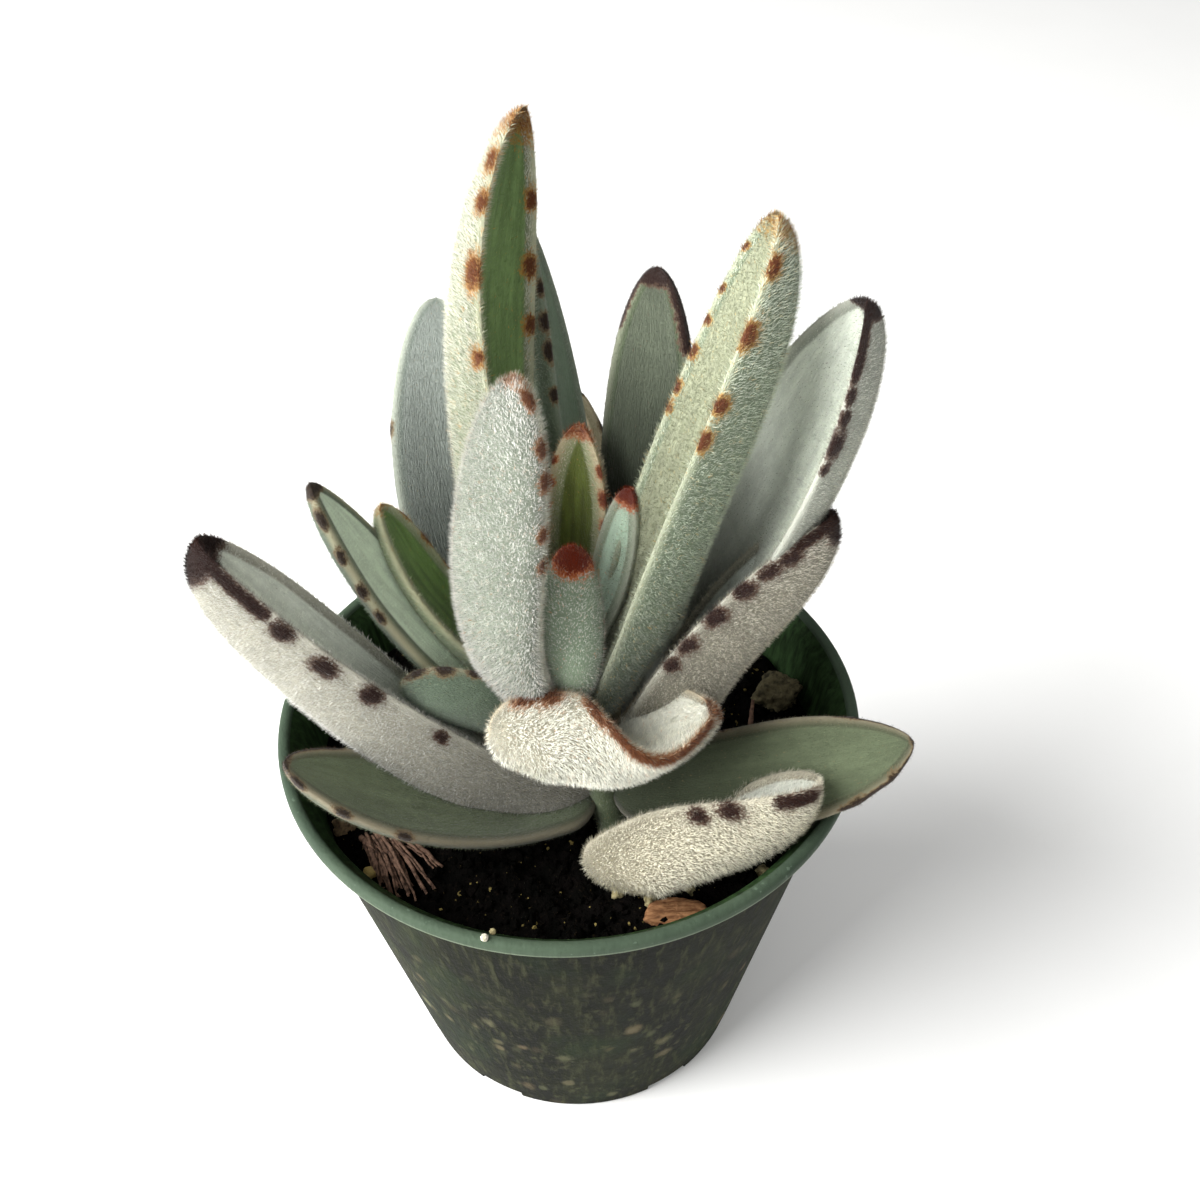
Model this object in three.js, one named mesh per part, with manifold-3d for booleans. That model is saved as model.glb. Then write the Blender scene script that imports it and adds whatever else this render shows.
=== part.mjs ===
// Panda plant (Kalanchoe tomentosa) standing in a round nursery pot of the 4 inch class.
// Millimetres, +Z up. The origin is the centre of the pot's flat base.
import * as THREE from 'three';
import { mergeVertices } from 'three/addons/utils/BufferGeometryUtils.js';
import Module from 'manifold-3d';

const wasm = await Module();
wasm.setup();

// ---- driving dimensions -------------------------------------------------------------------------
const RIM_RADIUS = 51;          // outer radius of the pot's lip
const POT_HEIGHT = 80;
const BASE_RADIUS = 33;
const NECK_RADIUS = 48.4;       // outer radius of the body just under the lip
const LIP_HEIGHT = 2.2;
const LIP_WIDTH = 2.1;
const WALL = 1.2;
const FLOOR = 1.6;
const EDGE_ROUND = 0.7;
const POT_SIDES = 48;
const DRAIN_SLOTS = 6;
const DRAIN_SLOT = { wide: 9, tall: 2.2, deep: 9 };

const SEAT = 0.3;               // clearance between pieces that touch
const SOIL_TOP = 68;            // mean height of the soil's surface
const SOIL_RINGS = 8;

const STEM_AROUND = 12;
const STEM_ALONG = 12;

const LEAF_AROUND = 12;         // facets around a leaf
const LEAF_ALONG = 16;          // facets along a leaf
const PATH_STEPS = 60;
const WIDEST = 0.56;            // where along its length a leaf is widest
const HEEL_LENGTH = 0.1;        // share of the length that the rounded heel takes
const HEEL_WIDTH = 0.55;        // width above the heel, as a share of the widest
const MARGIN_ROUND = 0.8;       // power that rounds the leaf's margins

// ---- colours ------------------------------------------------------------------------------------
const COLOURS = {
  potGreen: 0x4f6f5b,
  peat: 0x1d1a16,
  felt: 0xa9b8a2,
  stem: 0x93a184,
  pumice: 0x8d8573,
  perlite: 0xc9c2ae,
  chip: 0x9a6a45,
  straw: 0x8b6f55,
};

const radians = THREE.MathUtils.degToRad;
const mix = THREE.MathUtils.lerp;

function quarterRound(x) {
  const rest = 1 - Math.min(Math.max(x, 0), 1);
  return Math.sqrt(1 - rest * rest);
}

// ---- solids -------------------------------------------------------------------------------------
function toSolid(geometry) {
  const bare = geometry.clone();
  bare.deleteAttribute('normal');
  bare.deleteAttribute('uv');
  const merged = mergeVertices(bare, 1e-4);
  return new wasm.Manifold(new wasm.Mesh({
    numProp: 3,
    vertProperties: new Float32Array(merged.attributes.position.array),
    triVerts: new Uint32Array(merged.index.array),
  }));
}

function toGeometry(solid) {
  const mesh = solid.getMesh();
  const geometry = new THREE.BufferGeometry();
  geometry.setAttribute('position', new THREE.BufferAttribute(mesh.vertProperties, 3));
  geometry.setIndex(new THREE.BufferAttribute(mesh.triVerts, 1));
  geometry.computeVertexNormals();
  return geometry;
}

// The biggest body that a cut leaves; crumbs are dropped.
function biggest(solid) {
  const bodies = solid.decompose();
  return bodies.reduce((best, body) => (body.volume() > best.volume() ? body : best));
}

const plant = new THREE.Group();
plant.name = 'panda_plant';

function addMesh(name, geometry, colour, roughness) {
  const material = new THREE.MeshStandardMaterial({ color: colour, roughness, metalness: 0 });
  const mesh = new THREE.Mesh(geometry, material);
  mesh.name = name;
  plant.add(mesh);
  return mesh;
}

// A sphere whose poles are the two ends of a long body: `place(t, across, up)` gives the point at
// share t of the length, where (across, up) runs once round the unit circle.
function longBody(around, along, place) {
  const geometry = new THREE.SphereGeometry(1, around, along);
  const position = geometry.attributes.position;
  const columns = around + 1;
  for (let i = 0; i < position.count; i += 1) {
    const row = Math.floor(i / columns);
    const even = row / along;
    const gathered = (1 - Math.cos(even * Math.PI)) / 2;
    const t = (even + gathered) / 2;
    const turn = ((i % columns) / around) * 2 * Math.PI;
    const point = place(t, -Math.cos(turn), Math.sin(turn));
    position.setXYZ(i, point.x, point.y, point.z);
  }
  return geometry;
}

// ---- pot ----------------------------------------------------------------------------------------
function wallRadius(z) {
  return mix(BASE_RADIUS, NECK_RADIUS, z / (POT_HEIGHT - LIP_HEIGHT));
}

function makePot() {
  const lipBottom = POT_HEIGHT - LIP_HEIGHT;
  const lipInner = RIM_RADIUS - LIP_WIDTH;
  const profile = [
    [0, 0],
    [BASE_RADIUS - EDGE_ROUND, 0],
    [wallRadius(EDGE_ROUND), EDGE_ROUND],
    [wallRadius(POT_HEIGHT / 2), POT_HEIGHT / 2],
    [NECK_RADIUS, lipBottom],
    [RIM_RADIUS - EDGE_ROUND / 2, lipBottom],
    [RIM_RADIUS, lipBottom + EDGE_ROUND],
    [RIM_RADIUS, POT_HEIGHT - EDGE_ROUND],
    [RIM_RADIUS - EDGE_ROUND, POT_HEIGHT],
    [lipInner + EDGE_ROUND, POT_HEIGHT],
    [lipInner, POT_HEIGHT - EDGE_ROUND],
    [wallRadius(lipBottom) - WALL, lipBottom - EDGE_ROUND],
    [wallRadius(FLOOR + EDGE_ROUND) - WALL, FLOOR + EDGE_ROUND],
    [wallRadius(FLOOR) - WALL - EDGE_ROUND, FLOOR],
    [0, FLOOR],
  ].map(([radius, z]) => new THREE.Vector2(radius, z));
  const lathe = new THREE.LatheGeometry(profile, POT_SIDES);
  lathe.rotateX(Math.PI / 2);
  let pot = toSolid(lathe);
  for (let i = 0; i < DRAIN_SLOTS; i += 1) {
    const slot = new THREE.BoxGeometry(DRAIN_SLOT.deep, DRAIN_SLOT.wide, DRAIN_SLOT.tall * 2);
    slot.translate(BASE_RADIUS, 0, 0);
    slot.rotateZ((i / DRAIN_SLOTS) * 2 * Math.PI);
    pot = pot.subtract(toSolid(slot));
  }
  return pot;
}

// ---- stem ---------------------------------------------------------------------------------------
// One stem, rooted off the middle of the pot and leaning back to the heart of the rosette.
const STEM = { foot: [9.5, -23, 58], top: [-1, -8, 101], girth: [2.2, 3.4], round: 0.1 };

function stemShare(z) {
  return (z - STEM.foot[2]) / (STEM.top[2] - STEM.foot[2]);
}

function stemPoint(z) {
  const share = stemShare(z);
  return new THREE.Vector3(mix(STEM.foot[0], STEM.top[0], share), mix(STEM.foot[1], STEM.top[1], share), z);
}

function makeStem(grow = 0) {
  return longBody(STEM_AROUND, STEM_ALONG, (t, across, up) => {
    const ends = quarterRound(Math.min(t, 1 - t) / STEM.round);
    const radius = (mix(STEM.girth[0], STEM.girth[1], t) + grow) * ends;
    const centre = stemPoint(mix(STEM.foot[2] - grow, STEM.top[2] + grow, t));
    return centre.add(new THREE.Vector3(across * radius, up * radius, 0));
  });
}

// ---- leaves -------------------------------------------------------------------------------------
// at: height of the seat on the stem. side: compass direction of the seat. reach: its distance
// from the stem's middle. heel: how far the rounded heel reaches back past the seat.
// heading, sway: compass direction in which the leaf sets out, and how far it turns by its tip.
// rise: slope at the heel and at the tip. bend: how early the leaf takes the tip's slope.
// size: length, width, thickness. groove: how deep the leaf is folded along its middle.
// roll, twist: turn about its own length at the heel, and what the tip adds.
// turning: the stretch of the length over which a leaf twists, where that isn't all of it.
// tip: power of the tip's outline, 0.5 for a round one and more for a pointed one.
// widest: share of the length at which the leaf is widest, where that isn't the usual one.
// The nearest leaves come first: a later leaf makes room for the ones it is pressed against.
const LEAVES = [
  { name: 'leaf_low_front', at: 74, side: -86.5, reach: 11.1, heel: 5.3, heading: 10.4, sway: -15.1,
    rise: [39.1, 11.7], bend: 0.94, size: [41.6, 13.6, 7.2], groove: 7.3, roll: -91.4, twist: 64.3,
    tip: 0.36, widest: 0.57 },
  { name: 'leaf_front_bent', at: 95.5, side: -108.3, reach: 11.8, heel: 9.7, heading: 4.1,
    sway: -9.1, rise: [-13, 39], bend: 0.51, size: [36.3, 17.2, 6.6], groove: 6, roll: -94.9,
    twist: 112, turning: [0.3, 0.85], tip: 0.79, widest: 0.57 },
  { name: 'leaf_bud_front', at: 98, heading: -76.3, sway: -23.2, rise: [1.4, 113.4], bend: 4.11,
    size: [29.4, 9.6, 5], groove: 1, roll: 5.6, twist: 0, tip: 0.45 },
  { name: 'leaf_heart_left', at: 92, heading: 209.1, sway: -10.6, rise: [29.8, 100.1], bend: 3.53,
    size: [69, 15.9, 6], groove: 0.3, roll: 22.9, twist: 6.9, tip: 0.5 },
  { name: 'leaf_left_small', at: 89.5, side: 215, heading: 179.4, sway: 8.8, rise: [18.9, 31.8],
    bend: 1.5, size: [29.3, 14.1, 6], groove: 1.7, roll: 68.4, twist: 6.4, tip: 0.55 },
  { name: 'leaf_right_front', at: 71.5, side: 80, reach: 8, heading: 7.9, sway: -17.5,
    rise: [80.6, 35], bend: 0.74, size: [68.7, 16.7, 7], groove: 7.5, roll: -32.1, twist: 16.1,
    tip: 0.5 },
  { name: 'leaf_heart_rear', at: 98, heading: 78.6, sway: -1.3, rise: [58.2, 71.4], bend: 2.02,
    size: [38.8, 10.8, 3.6], groove: 2.6, roll: -10.5, twist: -3.9, tip: 0.55 },
  { name: 'leaf_bud_right', at: 98, heading: 35, sway: 5, rise: [54, 76], bend: 2,
    size: [32, 8.6, 3.6], groove: 1.5, roll: 0, twist: 0, tip: 0.55 },
  { name: 'leaf_right_tall', at: 90, heading: 5.8, sway: 31.4, rise: [82.8, 61.2], bend: 1.41,
    size: [87.2, 19.1, 7], groove: 6.9, roll: -7.3, twist: -22.2, tip: 0.5, widest: 0.66 },
  { name: 'leaf_tall', at: 93, heading: 125.7, sway: -58.3, rise: [72.5, 52.4], bend: 1.87,
    size: [93.2, 17.1, 6], groove: 7.4, roll: 64.5, twist: -0.8, tip: 0.7 },
  { name: 'leaf_left_young', at: 93, side: 170, heading: 156.2, sway: -17.8, rise: [14.6, 56.1],
    bend: 1.58, size: [43.8, 12.1, 4.6], groove: 3, roll: 16.2, twist: 2.9, tip: 0.55 },
  { name: 'leaf_left_long', at: 75.3, heading: 169.5, sway: 16.7, rise: [13.4, 53.5], bend: 3.52,
    size: [80.7, 15.1, 9.4], groove: 7.7, roll: 40.7, twist: -38, tip: 0.47, widest: 0.49 },
  { name: 'leaf_low_right', at: 76, side: 0, heading: -16.5, sway: 22.6, rise: [15.9, 14.6], bend: 1,
    size: [51.1, 17.8, 4.8], groove: 2.2, roll: 34.1, twist: -6.1, tip: 0.65 },
  { name: 'leaf_low_left', at: 75, heading: 196, sway: -14.2, rise: [0.7, 35.2], bend: 1.83,
    size: [54.1, 15.9, 4.8], groove: 2.9, roll: -9.7, twist: 4.6, tip: 0.6 },
  { name: 'leaf_left_upper', at: 85, heading: 160.1, sway: 0.4, rise: [19.3, 60.7], bend: 1.92,
    size: [62.5, 14.1, 4.8], groove: 1.7, roll: -5.3, twist: 14.3, tip: 0.65 },
  { name: 'leaf_right_rear', at: 72.9, side: 84, reach: 15, heading: -1.4, sway: -11.8,
    rise: [67.3, 69.7], bend: 1.7, size: [96.1, 24.5, 6.6], groove: 8, roll: 14, twist: 10.4,
    tip: 0.71, widest: 0.64 },
  { name: 'leaf_tall_rear', at: 90, heading: 79.4, sway: 34.1, rise: [44.2, 57.8], bend: 1.97,
    size: [78.3, 13.8, 5], groove: 4, roll: 66.7, twist: -6.4, tip: 0.6 },
  { name: 'leaf_rear_left', at: 82, side: 100, reach: 6, heading: 146.7, sway: -69,
    rise: [19.6, 65.3], bend: 1.92, size: [80.9, 18.3, 5], groove: 1.8, roll: -4.5, twist: -2.2,
    tip: 0.5 },
  { name: 'leaf_rear', at: 88, heading: 53.5, sway: 22.8, rise: [50, 80.7], bend: 1.62,
    size: [75.7, 16.3, 5], groove: 1.6, roll: -20.6, twist: 9.5, tip: 0.55 },
  { name: 'leaf_hidden_left', at: 78, heading: 128, sway: 0, rise: [8, 36], bend: 1.5,
    size: [50, 15, 5], groove: 1.8, roll: 0, twist: 0, tip: 0.55 },
  { name: 'leaf_hidden_rear', at: 79, heading: 95, sway: -8, rise: [22, 62], bend: 1.5,
    size: [66, 15, 5], groove: 1.8, roll: 0, twist: 0, tip: 0.55 },
  { name: 'leaf_hidden_right', at: 75, heading: 58, sway: 0, rise: [8, 34], bend: 1.5,
    size: [54, 15, 5], groove: 1.8, roll: 0, twist: 0, tip: 0.55 },
];

// Centre line of a leaf: points with their forward, sideways and inner-face directions.
function leafPath(leaf) {
  const [length] = leaf.size;
  const side = radians(leaf.side ?? leaf.heading);
  const heading = radians(leaf.heading);
  const reach = leaf.reach ?? mix(STEM.girth[0], STEM.girth[1], stemShare(leaf.at)) - 1;
  const point = stemPoint(leaf.at);
  point.add(new THREE.Vector3(Math.cos(side), Math.sin(side), 0).multiplyScalar(reach));
  const rows = [];
  for (let i = 0; i <= PATH_STEPS; i += 1) {
    const t = i / PATH_STEPS;
    const slope = radians(mix(leaf.rise[1], leaf.rise[0], (1 - t) ** leaf.bend));
    const azimuth = heading + radians(leaf.sway) * t;
    const [start, end] = leaf.turning ?? [0, 1];
    const roll = radians(leaf.roll + leaf.twist * THREE.MathUtils.smoothstep(t, start, end));
    const ahead = new THREE.Vector3(
      Math.cos(slope) * Math.cos(azimuth),
      Math.cos(slope) * Math.sin(azimuth),
      Math.sin(slope),
    );
    const flatSide = new THREE.Vector3(-Math.sin(azimuth), Math.cos(azimuth), 0);
    const flatUp = new THREE.Vector3().crossVectors(ahead, flatSide);
    if (i === 0) point.addScaledVector(ahead, -(leaf.heel ?? 0));
    else point.addScaledVector(ahead, length / PATH_STEPS);
    rows.push({
      point: point.clone(),
      ahead,
      across: flatSide.clone().multiplyScalar(Math.cos(roll)).addScaledVector(flatUp, Math.sin(roll)),
      up: flatUp.clone().multiplyScalar(Math.cos(roll)).addScaledVector(flatSide, -Math.sin(roll)),
    });
  }
  return rows;
}

// Width along the leaf, as a share of the widest: round heel, slow swelling, blunt tip.
function widthAt(t, tip, widest) {
  const heel = quarterRound(t / HEEL_LENGTH);
  const swell = mix(HEEL_WIDTH, 1, Math.sin((Math.PI / 2) * Math.min(1, t / widest)));
  const past = Math.max(0, (t - widest) / (1 - widest));
  return heel * swell * (1 - past * past) ** tip;
}

function thicknessAt(t) {
  return quarterRound(t / HEEL_LENGTH) * mix(1, 0.85, t) * quarterRound((1 - t) / 0.22);
}

function grooveAt(t) {
  return Math.min(1, t / 0.25) * quarterRound((1 - t) / 0.4);
}

function makeLeaf(leaf, grow = 0) {
  const path = leafPath(leaf);
  const [, width, thickness] = leaf.size;
  return longBody(LEAF_AROUND, LEAF_ALONG, (t, across, up) => {
    const place = t * PATH_STEPS;
    const row = Math.min(PATH_STEPS - 1, Math.floor(place));
    const from = path[row];
    const to = path[row + 1];
    const half = (width / 2 + grow) * widthAt(t, leaf.tip, leaf.widest ?? WIDEST);
    const depth = (thickness / 2 + grow) * thicknessAt(t);
    const lift = depth * Math.sign(up) * Math.abs(up) ** MARGIN_ROUND - leaf.groove * grooveAt(t) * up * up;
    return from.point.clone().lerp(to.point, place - row)
      .addScaledVector(from.ahead, grow * (2 * t - 1))
      .addScaledVector(from.across, half * across)
      .addScaledVector(from.up, lift);
  });
}

// ---- soil ---------------------------------------------------------------------------------------
function soilHeight(x, y) {
  const swell = 0.9 * Math.sin(x * 0.11 + 1) * Math.cos(y * 0.13) + 0.5 * Math.sin(x * 0.31 + y * 0.23);
  const crumbs = 0.35 * Math.sin(x * 0.9 + 2) * Math.sin(y * 0.8 + 1);
  const edge = 1.2 * (Math.hypot(x, y) / NECK_RADIUS) ** 6;
  return SOIL_TOP + swell + crumbs - edge;
}

function makeSoil() {
  const outerTop = wallRadius(SOIL_TOP) - WALL - SEAT;
  const bottom = FLOOR + SEAT;
  const profile = [new THREE.Vector2(0, bottom)];
  profile.push(new THREE.Vector2(wallRadius(bottom) - WALL - EDGE_ROUND - SEAT, bottom));
  profile.push(new THREE.Vector2(wallRadius(bottom + 2) - WALL - SEAT, bottom + 2));
  for (let ring = SOIL_RINGS; ring >= 0; ring -= 1) {
    profile.push(new THREE.Vector2((outerTop * ring) / SOIL_RINGS, SOIL_TOP));
  }
  const lathe = new THREE.LatheGeometry(profile, POT_SIDES);
  lathe.rotateX(Math.PI / 2);
  const position = lathe.attributes.position;
  for (let i = 0; i < position.count; i += 1) {
    if (position.getZ(i) > SOIL_TOP - 1) position.setZ(i, soilHeight(position.getX(i), position.getY(i)));
  }
  return toSolid(lathe);
}

// ---- bits lying half sunk in the soil -----------------------------------------------------------
// centre: x, y and how far above the soil. radii: half sizes. turn: degrees about the vertical.
const LUMPS = [
  { name: 'pumice_lump', centre: [39.4, 10.4, 1.6], radii: [4.3, 3.6, 3.4], turn: 20, colour: 'pumice' },
  { name: 'perlite_right', centre: [31.1, -29.4, 0.3], radii: [1.3, 1.1, 1], turn: 0, colour: 'perlite' },
  { name: 'perlite_front_left', centre: [6.8, -32.4, 0.3], radii: [1.2, 1, 0.9], turn: 40, colour: 'perlite' },
  { name: 'perlite_front', centre: [12, -34.5, 0.3], radii: [1.4, 1.1, 1], turn: 80, colour: 'perlite' },
  { name: 'perlite_front_right', centre: [18.6, -32.4, 0.3], radii: [1.1, 1, 0.9], turn: 10, colour: 'perlite' },
  { name: 'pebble', centre: [-39.8, -15.4, 0.8], radii: [2.1, 1.9, 1.7], turn: 30, colour: 'pumice' },
  { name: 'pellet', centre: [-34.4, -26.3, 0.4], radii: [1.3, 1.3, 1.2], turn: 0, colour: 'perlite' },
];
const LUMP_ROUGHNESS = 0.16;
const CHIP = {
  centre: [16.2, -37.4, 0.7],
  outline: [[-5.6, -1.2], [-2.6, -2.8], [3, -2.7], [5.5, -0.5], [4, 2.2], [-1.2, 2.9], [-4.8, 1.5]],
  thick: 2.4,
  turn: -4,
  tilt: 10,
};
const TWIG = { from: [33.2, 2.4, 0.6], to: [34.4, 8.2, 2.6], radius: 0.65 };
const ROOTS = {
  knot: [-33.8, -18.4, 0.8],
  knotRadii: [3.4, 1.4, 1.3],
  ends: [[-33.2, -24.2], [-32.1, -29.4], [-30.5, -31.1], [-29.2, -31.4], [-27.7, -31.3], [-24.8, -30.5],
    [-22.3, -25.7]],
  radius: 0.55,
  lift: 1.6,
};
const FIBRE_AROUND = 5;
const FIBRE_ALONG = 5;

function onSoil([x, y, above]) {
  return new THREE.Vector3(x, y, soilHeight(x, y) + above);
}

function makeLump({ centre, radii, turn }, grow = 0) {
  const geometry = new THREE.IcosahedronGeometry(1, 1);
  const position = geometry.attributes.position;
  const place = onSoil(centre);
  for (let i = 0; i < position.count; i += 1) {
    const point = new THREE.Vector3().fromBufferAttribute(position, i);
    const wave = Math.sin(3.1 * point.x + place.x) * Math.sin(3.7 * point.y + place.y + 2 * point.z);
    const swell = 1 + LUMP_ROUGHNESS * wave;
    point.set(point.x * (radii[0] * swell + grow), point.y * (radii[1] * swell + grow),
      point.z * (radii[2] * swell + grow));
    position.setXYZ(i, point.x, point.y, point.z);
  }
  geometry.rotateZ(radians(turn));
  geometry.translate(place.x, place.y, place.z);
  return geometry;
}

function makeChip(grow = 0) {
  const corners = CHIP.outline.map(([x, y]) => {
    const stretch = 1 + grow / Math.hypot(x, y) * 1.4;
    return new THREE.Vector2(x * stretch, y * stretch);
  });
  const depth = CHIP.thick + 2 * grow;
  const geometry = new THREE.ExtrudeGeometry(new THREE.Shape(corners), { depth, bevelEnabled: false });
  geometry.translate(0, 0, -depth / 2);
  geometry.rotateX(radians(CHIP.tilt));
  geometry.rotateZ(radians(CHIP.turn));
  const place = onSoil(CHIP.centre);
  geometry.translate(place.x, place.y, place.z);
  return geometry;
}

// A thin round body that runs from one point to another, `lift` higher in its middle.
function makeFibre(from, to, lift, radius) {
  const along = to.clone().sub(from).setZ(0).normalize();
  const side = new THREE.Vector3(-along.y, along.x, 0);
  return longBody(FIBRE_AROUND, FIBRE_ALONG, (t, across, up) => {
    const thick = radius * quarterRound(Math.min(t, 1 - t) / 0.15);
    const point = from.clone().lerp(to, t);
    point.z += lift * Math.sin(Math.PI * t) + thick * up;
    return point.addScaledVector(side, thick * across);
  });
}

function makeTwig(grow = 0) {
  return makeFibre(onSoil(TWIG.from), onSoil(TWIG.to), 0, TWIG.radius + grow);
}

function makeRoots(grow = 0) {
  const knot = { centre: ROOTS.knot, radii: ROOTS.knotRadii, turn: 0 };
  let tuft = toSolid(makeLump(knot, grow));
  for (const [x, y] of ROOTS.ends) {
    const fibre = makeFibre(onSoil(ROOTS.knot), onSoil([x, y, 0]), ROOTS.lift, ROOTS.radius + grow);
    tuft = tuft.add(toSolid(fibre));
  }
  return tuft;
}

// ---- assembly -----------------------------------------------------------------------------------
const pot = makePot();
addMesh('pot', toGeometry(pot), COLOURS.potGreen, 0.5);

addMesh('stem', toGeometry(toSolid(makeStem())), COLOURS.stem, 0.9);

// Solids grown by the clearance, which later pieces make room for.
const placed = [toSolid(makeStem(SEAT))];

function seatPiece(name, solid, grown, colour, roughness) {
  const seated = placed.reduce((rest, other) => rest.subtract(other), solid);
  placed.push(grown.add(solid));
  addMesh(name, toGeometry(biggest(seated)), colour, roughness);
}

for (const leaf of LEAVES) {
  seatPiece(leaf.name, toSolid(makeLeaf(leaf)), toSolid(makeLeaf(leaf, SEAT)), COLOURS.felt, 0.95);
}
seatPiece('bark_chip', toSolid(makeChip()), toSolid(makeChip(SEAT)), COLOURS.chip, 0.9);
seatPiece('twig', toSolid(makeTwig()), toSolid(makeTwig(SEAT)), COLOURS.straw, 0.9);
seatPiece('dry_roots', makeRoots(), makeRoots(SEAT), COLOURS.straw, 0.9);
for (const lump of LUMPS) {
  seatPiece(lump.name, toSolid(makeLump(lump)), toSolid(makeLump(lump, SEAT)), COLOURS[lump.colour], 0.95);
}
seatPiece('soil', makeSoil(), makeSoil(), COLOURS.peat, 1);

export default plant;
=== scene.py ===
"""Panda plant (Kalanchoe tomentosa) in its nursery pot.

Felted leaves with brown teeth along their margins stand round a short woolly stem. The pot holds
dark peat with its litter: a bark chip, a tuft of dry roots, a lump of pumice and grains of perlite.
Lengths in the tables are millimetres and angles are degrees; Blender's own units are metres.
"""

import math
from dataclasses import dataclass

import bmesh
import bpy
import numpy as np
from mathutils import Matrix, Vector, noise


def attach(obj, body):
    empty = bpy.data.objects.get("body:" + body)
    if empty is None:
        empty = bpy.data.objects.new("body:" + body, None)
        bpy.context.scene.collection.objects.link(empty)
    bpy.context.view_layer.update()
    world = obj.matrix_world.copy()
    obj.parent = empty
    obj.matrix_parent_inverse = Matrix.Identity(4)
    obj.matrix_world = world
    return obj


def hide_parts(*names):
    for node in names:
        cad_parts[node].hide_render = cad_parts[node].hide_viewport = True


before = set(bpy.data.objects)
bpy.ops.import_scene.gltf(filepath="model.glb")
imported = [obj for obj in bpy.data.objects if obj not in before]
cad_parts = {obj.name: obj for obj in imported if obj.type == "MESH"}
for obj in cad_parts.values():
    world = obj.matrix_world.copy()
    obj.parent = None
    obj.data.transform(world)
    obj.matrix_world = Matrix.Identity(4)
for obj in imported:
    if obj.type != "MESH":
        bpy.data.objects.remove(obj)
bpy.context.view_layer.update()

MM = 0.001

# ---- sizes ----------------------------------------------------------------------------------------
RIM_RADIUS = 51
POT_HEIGHT = 80
BASE_RADIUS = 33
NECK_RADIUS = 48.4
LIP_HEIGHT = 2.2
LIP_WIDTH = 2.1
LIP_BOTTOM = POT_HEIGHT - LIP_HEIGHT
LIP_INNER = RIM_RADIUS - LIP_WIDTH
WALL = 1.2
FLOOR = 1.6
POT_AROUND = 144
DRAIN_SLOTS = 6
DRAIN_SLOT = (9, 9, 4.4)  # deep, wide, and twice its height

SOIL_TOP = 68
SOIL_GAP = 0.3
SOIL_RINGS = 90
SOIL_AROUND = 220
SOIL_TOP_MAP = (0.4, 0.39)  # on the map: middle and half width of the round top
SOIL_WALL_MAP = (0.82, 0.17)  # start and width of the strip for the wall

CHIP_OUTLINE = ((-5.6, -1.2), (-2.6, -2.8), (3, -2.7), (5.5, -0.5), (4, 2.2), (-1.2, 2.9), (-4.8, 1.5))
ROOT_KNOT = (-33.8, -18.4)
ROOT_ENDS = ((-33.2, -24.2), (-32.1, -29.4), (-30.5, -31.1), (-29.2, -31.4), (-27.7, -31.3), (-24.8, -30.5),
             (-22.3, -25.7))

STEM_FOOT = np.array([9.5, -23, 58])
STEM_TOP = np.array([-1, -8, 101])
STEM_GIRTH = (2.2, 3.4)
STEM_RINGS = 46
STEM_AROUND = 32

PATH_STEPS = 60
HEEL_LENGTH = 0.1
HEEL_WIDTH = 0.55
MARGIN_ROUND = 0.8
THINNING = 0.15  # how much thinner a leaf is at its tip
TIP_ROUND = 0.22  # shares of the length over which the tip rounds off and the furrow opens and closes
FURROW_OPENS = 0.25
FURROW_CLOSES = 0.4
LEAF_ROW = 0.85  # distance between the rings of a leaf's skin
LEAF_AROUND = 48

LIP_COLUMN = 2  # where the crest of a lip lies, counted from the margin
RIM_WIDTH = 0.9
BARE_FURROW = 7  # with fewer hairs to the square millimetre, the furrow's own streaks show
FURROW_START = (1.0, 2.4)  # distances from the lip between which the furrow begins
TOOTH = (3.6, 2.6)  # length and width of the brown patch on a tooth
TOOTH_SWELL = 0.35  # how far a tooth stands out of the margin
BLOT_FADE = -0.7  # how steeply brown fades round the middle of its patch
BAND_END = 1.2  # how far a brown band fades past its ends
NO_WAY_ROUND = 1e-6  # the length round a ring that is a single point


# ---- colours --------------------------------------------------------------------------------------
def srgb(red, green, blue):
    """An everyday colour value as the linear one that shaders take."""
    def linear(value):
        value /= 255
        return value / 12.92 if value <= 0.04045 else ((value + 0.055) / 1.055) ** 2.4

    return (linear(red), linear(green), linear(blue), 1.0)


def shade(colour, factor):
    """The same colour, darker or lighter."""
    return tuple(channel * factor for channel in colour[:3]) + (1.0,)


RUST = (srgb(162, 120, 84), srgb(98, 58, 34))
TAWNY = (srgb(184, 146, 76), srgb(104, 58, 32))
GOLD = (srgb(178, 130, 62), srgb(104, 60, 34))
CHOCOLATE = (srgb(96, 72, 58), srgb(42, 22, 15))
UMBER = (srgb(128, 108, 78), srgb(46, 32, 20))
FOX = (srgb(186, 118, 74), srgb(124, 62, 34))
EMBER = (srgb(204, 108, 54), srgb(112, 36, 8))


@dataclass
class Felt:
    """How a leaf is covered: its skin outside, in its furrow and along its rims, the colour of its
    down, the two browns of its teeth, hairs for each square millimetre outside and in the furrow, and
    the length and width of a hair."""

    flank: tuple
    furrow: tuple
    rim: tuple
    down: tuple
    brown: tuple
    pile: float = 14
    furrow_pile: float = 12
    hair: float = 0.9
    width: float = 0.11


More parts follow.
